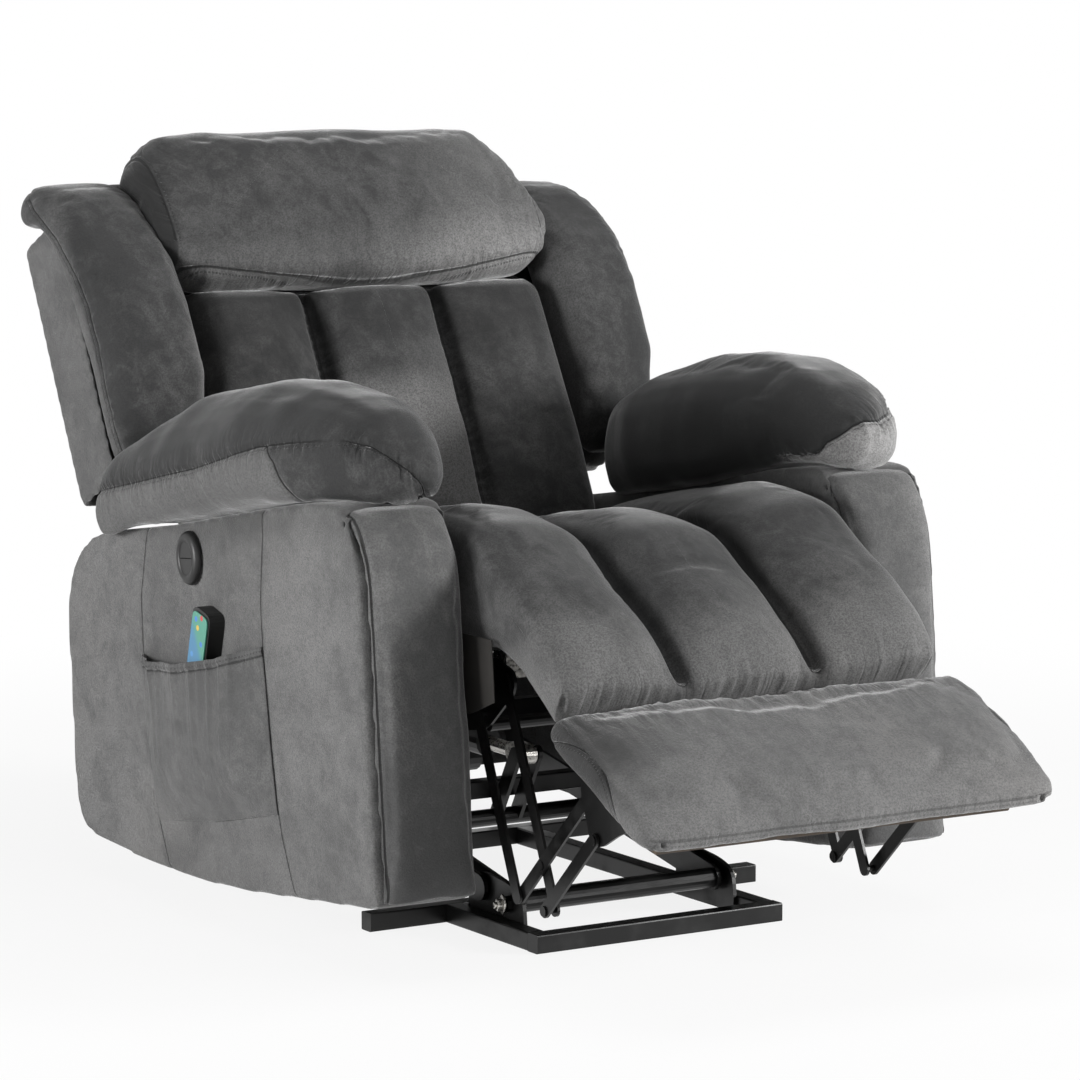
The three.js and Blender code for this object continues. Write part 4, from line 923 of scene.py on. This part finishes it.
# radius, thickness, distance from the wall and corners, in sizes of the nut
liftBolt = {"x": 0.1795, "y": -0.196, "z": 0.045, "size": 0.009, "turn": 0.3, "edge": 0.12,
            "parts": [(1.5, 0.35, 0.0, 28), (1.0, 0.9, 0.62, 6), (0.52, 0.5, 1.3, 20)]}


def makeLiftBolt(side, sign):
    pickNone()
    size = liftBolt["size"]
    parts = []
    for radius, depth, shift, corners in liftBolt["parts"]:
        bpy.ops.mesh.primitive_cylinder_add(
            vertices=corners, radius=size * radius, depth=size * depth,
            location=(sign * (liftBolt["x"] + shift * size), liftBolt["y"], liftBolt["z"]),
            rotation=(liftBolt["turn"], math.pi / 2, 0))
        parts.append(bpy.context.object)
    for part in parts:
        part.select_set(True)
    bpy.context.view_layer.objects.active = parts[0]
    bpy.ops.object.join()
    piece = bpy.context.object
    piece.name = "liftBolt" + side.title()
    bpy.ops.object.transform_apply(location=True, rotation=True, scale=True)
    bevel = piece.modifiers.new("edge", "BEVEL")
    bevel.width = size * liftBolt["edge"]
    bevel.segments = 2
    applyAll(piece)
    bpy.ops.object.shade_smooth_by_angle(angle=0.6)
    piece.data.materials.append(zinc)
    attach(piece, "lift_arms")


# ring round the two switch buttons

# the profile runs from the outer foot over the dome to the inner one: share, height
switchRing = {"along": 0.436, "up": 0.4454, "wall": 0.4513, "halfAlong": 0.03, "halfUp": 0.037,
              "steps": 64,
              "profile": [(1.0, 0.0), (1.0, 0.003), (0.985, 0.0065), (0.93, 0.0098),
                          (0.84, 0.0118), (0.73, 0.0122), (0.64, 0.0112), (0.585, 0.0092),
                          (0.57, 0.0068), (0.565, 0.003), (0.565, 0.0)]}


def makeBezel():
    # a domed oval with a stepped inner lip
    ring = switchRing
    shape = bmesh.new()
    rows = []
    for turn in np.linspace(0, 2 * math.pi, ring["steps"], endpoint=False):
        rows.append([shape.verts.new(armPoint(
            -ring["wall"] - height, ring["along"] + ring["halfAlong"] * share * math.cos(turn),
            ring["up"] + ring["halfUp"] * share * math.sin(turn)))
            for share, height in ring["profile"]])
    bridge(shape, rows + rows[:1])
    bmesh.ops.recalc_face_normals(shape, faces=shape.faces)
    piece = meshPiece("switchRing", shape)
    refine(piece)
    piece.data.materials.append(plastic)
    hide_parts("switch_bezel")
    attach(piece, "chair")


# seat and chaise: three channels that run over the nose to the footrest

seatForm = {"nodes": ["seat_cushion", "chaise_pad"], "inset": 0.01, "pressure": 5,
            "slack": 0.03, "channel": 0.105, "half": 0.297, "outerFill": 1.55}
# share, crease line (y, z), underside (y, z), crown, drawn-in sides
seatRows = [
    (0.000, 0.262, 0.418, 0.258, 0.372, 0.004, 0.014),
    (0.020, 0.266, 0.430, 0.258, 0.360, 0.012, 0.006),
    (0.050, 0.235, 0.447, 0.230, 0.360, 0.018, 0.001),
    (0.080, 0.180, 0.468, 0.184, 0.363, 0.020, 0.000),
    (0.155, 0.099, 0.489, 0.099, 0.370, 0.024, 0.000),
    (0.340, -0.061, 0.518, -0.061, 0.383, 0.026, 0.000),
    (0.490, -0.191, 0.536, -0.186, 0.394, 0.029, 0.000),
    (0.620, -0.293, 0.523, -0.269, 0.401, 0.031, 0.000),
    (0.715, -0.354, 0.482, -0.321, 0.407, 0.030, 0.000),
    (0.800, -0.411, 0.452, -0.371, 0.391, 0.031, 0.000),
    (0.890, -0.468, 0.413, -0.432, 0.356, 0.028, 0.000),
    (0.975, -0.507, 0.378, -0.474, 0.329, 0.020, 0.002),
    (1.000, -0.516, 0.367, -0.486, 0.322, 0.012, 0.005)]


def channelHeight(x, crown, fill):
    # how far the three channels stand over their crease lines
    away, half = np.abs(x), seatForm["channel"]
    inner = np.cos(np.clip(away / half, 0, 1) * math.pi / 2) ** 0.6
    share = np.clip((away - half) / (seatForm["half"] - half), 0, 1)
    outer = fill * np.sin(np.minimum(1, share * 1.25) * math.pi / 2) ** 0.6
    fall = np.clip((share - 0.7) / 0.3, 0, 1)
    edge = (crown * fill * 0.7 + 0.004) * (1 - np.sqrt(1 - fall ** 2.2))
    return np.where(away <= half, crown * inner, crown * outer - edge)


def seatCover():
    across = np.linspace(-seatForm["half"], seatForm["half"], 121)
    rings = []
    for row in through(seatRows, 150):
        faceY, faceZ, underY, underZ, crown, narrow = row
        upY, upZ = np.array((faceY - underY, faceZ - underZ)) / math.hypot(
            faceY - underY, faceZ - underZ)
        height = channelHeight(across, crown, seatForm["outerFill"])
        wide = across * (1 - narrow / seatForm["half"])
        ring = [(x, faceY + upY * h, faceZ + upZ * h) for x, h in zip(wide, height)]
        ring += [(seatForm["half"] * s, underY, underZ) for s in np.linspace(0.965, -0.965, 20)]
        rings.append(ring)
    return loftCover(rings)


def makeSeat():
    form = dict(seatForm, cover=seatCover)
    piece, solid = softForm("seatAndChaise", form)
    points = pointsOf(piece)
    under = pointsOf(piece, "normal")[:, 2] < -0.4
    creased = np.abs(np.abs(points[:, 0]) - seatForm["channel"]) < 0.004
    ends = (points[:, 1] > 0.2) | (points[:, 1] < -0.49)
    swell(piece, seatForm, held=(under | creased | ends))
    keepNear(piece, solid, 0.008)
    refine(piece)
    points, normals = pointsOf(piece), pointsOf(piece, "normal")
    x, down, _ = footPlace(points)
    top = smoothstep(normals[:, 2] - normals[:, 1], -0.2, 0.3)
    along = points[:, 1] - points[:, 2]
    seams = [{"across": x - side * seatForm["channel"], "along": along, "depth": 0.014,
              "width": 0.009, "gather": 0.0012, "reach": 0.02, "reachUnder": 0.02,
              "wave": 0.025, "where": top * (1 - smoothstep(down, -0.035, -0.005)),
              "show": 0.6, "pucker": 0.25} for side in (-1, 1)]
    front = {"across": -down - 0.002, "along": x, "depth": 0.0, "width": 0.005, "show": 0.0,
             "gather": 0.0022, "reach": 0.03, "wave": 0.019, "pucker": 0.5,
             "where": top * smoothstep(down, -0.16, -0.08)}
    # painted light towards the nose, painted shade on the right outer channel further back and
    # along the two creases
    strokeAndShading = 0.5 * smoothstep(down, -0.17, -0.01)
    near = np.abs(np.abs(x) - seatForm["channel"])
    paintedShading = (0.4 * smoothstep(down, -0.2, -0.05) - 0.35 * (x > seatForm["channel"]) * (
        smoothstep(-down, 0.1, 0.3)) - 0.5 * smoothstep(-near, -0.03, 0.0))
    sew(piece, seams + [front], [(0.12, 0.003), (0.05, 0.0012)], strokeAndShading, paintedShading)
    finishSoft(piece, seatForm, velvet, None)
    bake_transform(piece)


# footrest bolster

bolster = {"nodes": ["footrest_bolster"], "voxel": 0.007, "inset": 0.01, "pressure": 5,
           "slack": 0.04}


def makeBolster():
    piece, solid = softForm("footrestBolster", bolster)
    swell(piece, bolster, held=pointsOf(piece, "normal")[:, 2] < -0.5)
    keepNear(piece, solid, 0.006)
    refine(piece)
    points = pointsOf(piece)
    # the cover stands a little wider than its board, more so at the right
    points[:, 0] = points[:, 0] * 1.03 + 0.013 * smoothstep(points[:, 0], 0.05, 0.3)
    movePoints(piece, points)
    x, along, above = footPlace(points)
    hem = {"across": above - 0.005, "along": x, "depth": 0.002, "width": 0.0035,
           "gather": 0.0014, "reach": 0.04, "wave": 0.02, "pucker": 0.4,
           "where": smoothstep(along, 0.245, 0.255), "show": 0.45}
    ends = {"across": above - 0.012 + 5.0 * (along - 0.12) ** 2, "along": along, "depth": 0.003,
            "width": 0.004, "gather": 0.001, "reach": 0.03, "wave": 0.02, "pucker": 0.5,
            "where": smoothstep(np.abs(x), 0.298, 0.306) * smoothstep(-along, -0.25, -0.24)}
    top = {"across": along - 0.004, "along": x, "depth": 0.002, "width": 0.006, "show": 0.0,
           "gather": 0.003, "reach": 0.05, "wave": 0.018, "pucker": 0.8,
           "where": smoothstep(above, -0.01, 0.0)}
    # painted light lower down the face, painted shade over the upper left part and the left end
    strokeAndShading = 0.35 * smoothstep(along, 0.02, 0.2) - 0.1
    shadedLeftPart = smoothstep(-x, 0.1, 0.3) * smoothstep(-along, -0.2, -0.1)
    paintedShading = 0.25 * smoothstep(along, 0.1, 0.25) - 0.7 * shadedLeftPart - 0.5 * smoothstep(
        -x, 0.3, 0.31)
    sew(piece, [hem, ends, top], [(0.12, 0.003), (0.05, 0.0015)], strokeAndShading, paintedShading)
    finishSoft(piece, bolster, sideVelvet, "footrest")


makeHeadrest()
makeBackCushion()
makeShell()
makeSeat()
makeBolster()
makePocket()
for side, sign in (("left", -1), ("right", 1)):
    makeWing(side, sign)
    makeArmPad(side, sign)
    makeArmBox(side, sign)
    makeFrontPanel(side, sign)
    makeFlap(side, sign)
    makeLiftBolt(side, sign)
makeBezel()
print("upholstery made")


# camera, floor and light

view = {"place": (-3.2541, -5.2094, 1.2977), "target": (0.1004, 0.159, 0.4731), "lens": 150.9}


def makeCamera():
    data = bpy.data.cameras.new("camera")
    data.lens = view["lens"]
    data.sensor_width = 36
    camera = bpy.data.objects.new("camera", data)
    camera.location = view["place"]
    aim = Vector(view["target"]) - Vector(view["place"])
    camera.rotation_euler = aim.to_track_quat("-Z", "Y").to_euler()
    scene.collection.objects.link(camera)
    scene.camera = camera


lamps = {
    "windowLeft": {"place": (-4.5, -0.3, 1.15), "aim": (0, 0, 0.5), "size": 1.5, "power": 190},
    "windowRight": {"place": (3.6, -3.5, 1.5), "aim": (0, 0, 0.6), "size": 1.5, "power": 330},
    "overhead": {"place": (0.1, 0.3, 3.4), "aim": (0, 0, 0.5), "size": 2.0, "power": 30},
    "frontFill": {"place": (-2.0, -4.6, 1.1), "aim": (0, 0, 0.4), "size": 1.6, "power": 14},
}


def makeLights():
    for name, lamp in lamps.items():
        data = bpy.data.lights.new(name, "AREA")
        data.energy = lamp["power"]
        data.size = lamp["size"]
        light = bpy.data.objects.new(name, data)
        light.location = lamp["place"]
        aim = Vector(lamp["aim"]) - Vector(lamp["place"])
        light.rotation_euler = aim.to_track_quat("-Z", "Y").to_euler()
        scene.collection.objects.link(light)
    world = bpy.data.worlds.new("studio")
    world.use_nodes = True
    sky = Nodes(world.node_tree)
    strength = sky.node("ShaderNodeMapRange", None, {"Value": sky.seenDirectly(), "To Min": 0.07})
    background = sky.tree.nodes["Background"]
    sky.tree.links.new(strength.socket, background.inputs["Strength"])
    background.inputs["Color"].default_value = (1, 1, 1, 1)
    scene.world = world


def makeFloor():
    pickNone()
    bpy.ops.mesh.primitive_circle_add(vertices=64, radius=9, fill_type="NGON")
    floor = bpy.context.object
    floor.name = "studioFloor"
    finish = Finish("paleFloor", Roughness=0.9)
    haze = finish.noise(0.8, 2)
    finish.feed(Base_Color=finish.blend(haze * 0.2, (0.93, 0.93, 0.93, 1), (0.88, 0.88, 0.88, 1)))
    reach = finish.node("ShaderNodeVectorMath", {"operation": "LENGTH"}, {0: finish.place()},
                        output=1)
    seen = finish.seenDirectly() * (0.86 + finish.ramp(reach, 0.9, 2.6) * 0.14)
    glow = finish.node("ShaderNodeEmission", None, {"Color": (1, 1, 1, 1)})
    lit = Wire(finish, finish.shader.outputs[0])
    mix = finish.node("ShaderNodeMixShader", None, {"Fac": seen, 1: lit, 2: glow})
    finish.tree.links.new(mix.socket, finish.tree.nodes["Material Output"].inputs["Surface"])
    floor.data.materials.append(finish.material)


makeCamera()
makeLights()
makeFloor()
scene.view_settings.view_transform = "Standard"
print("camera, floor and lamps placed")
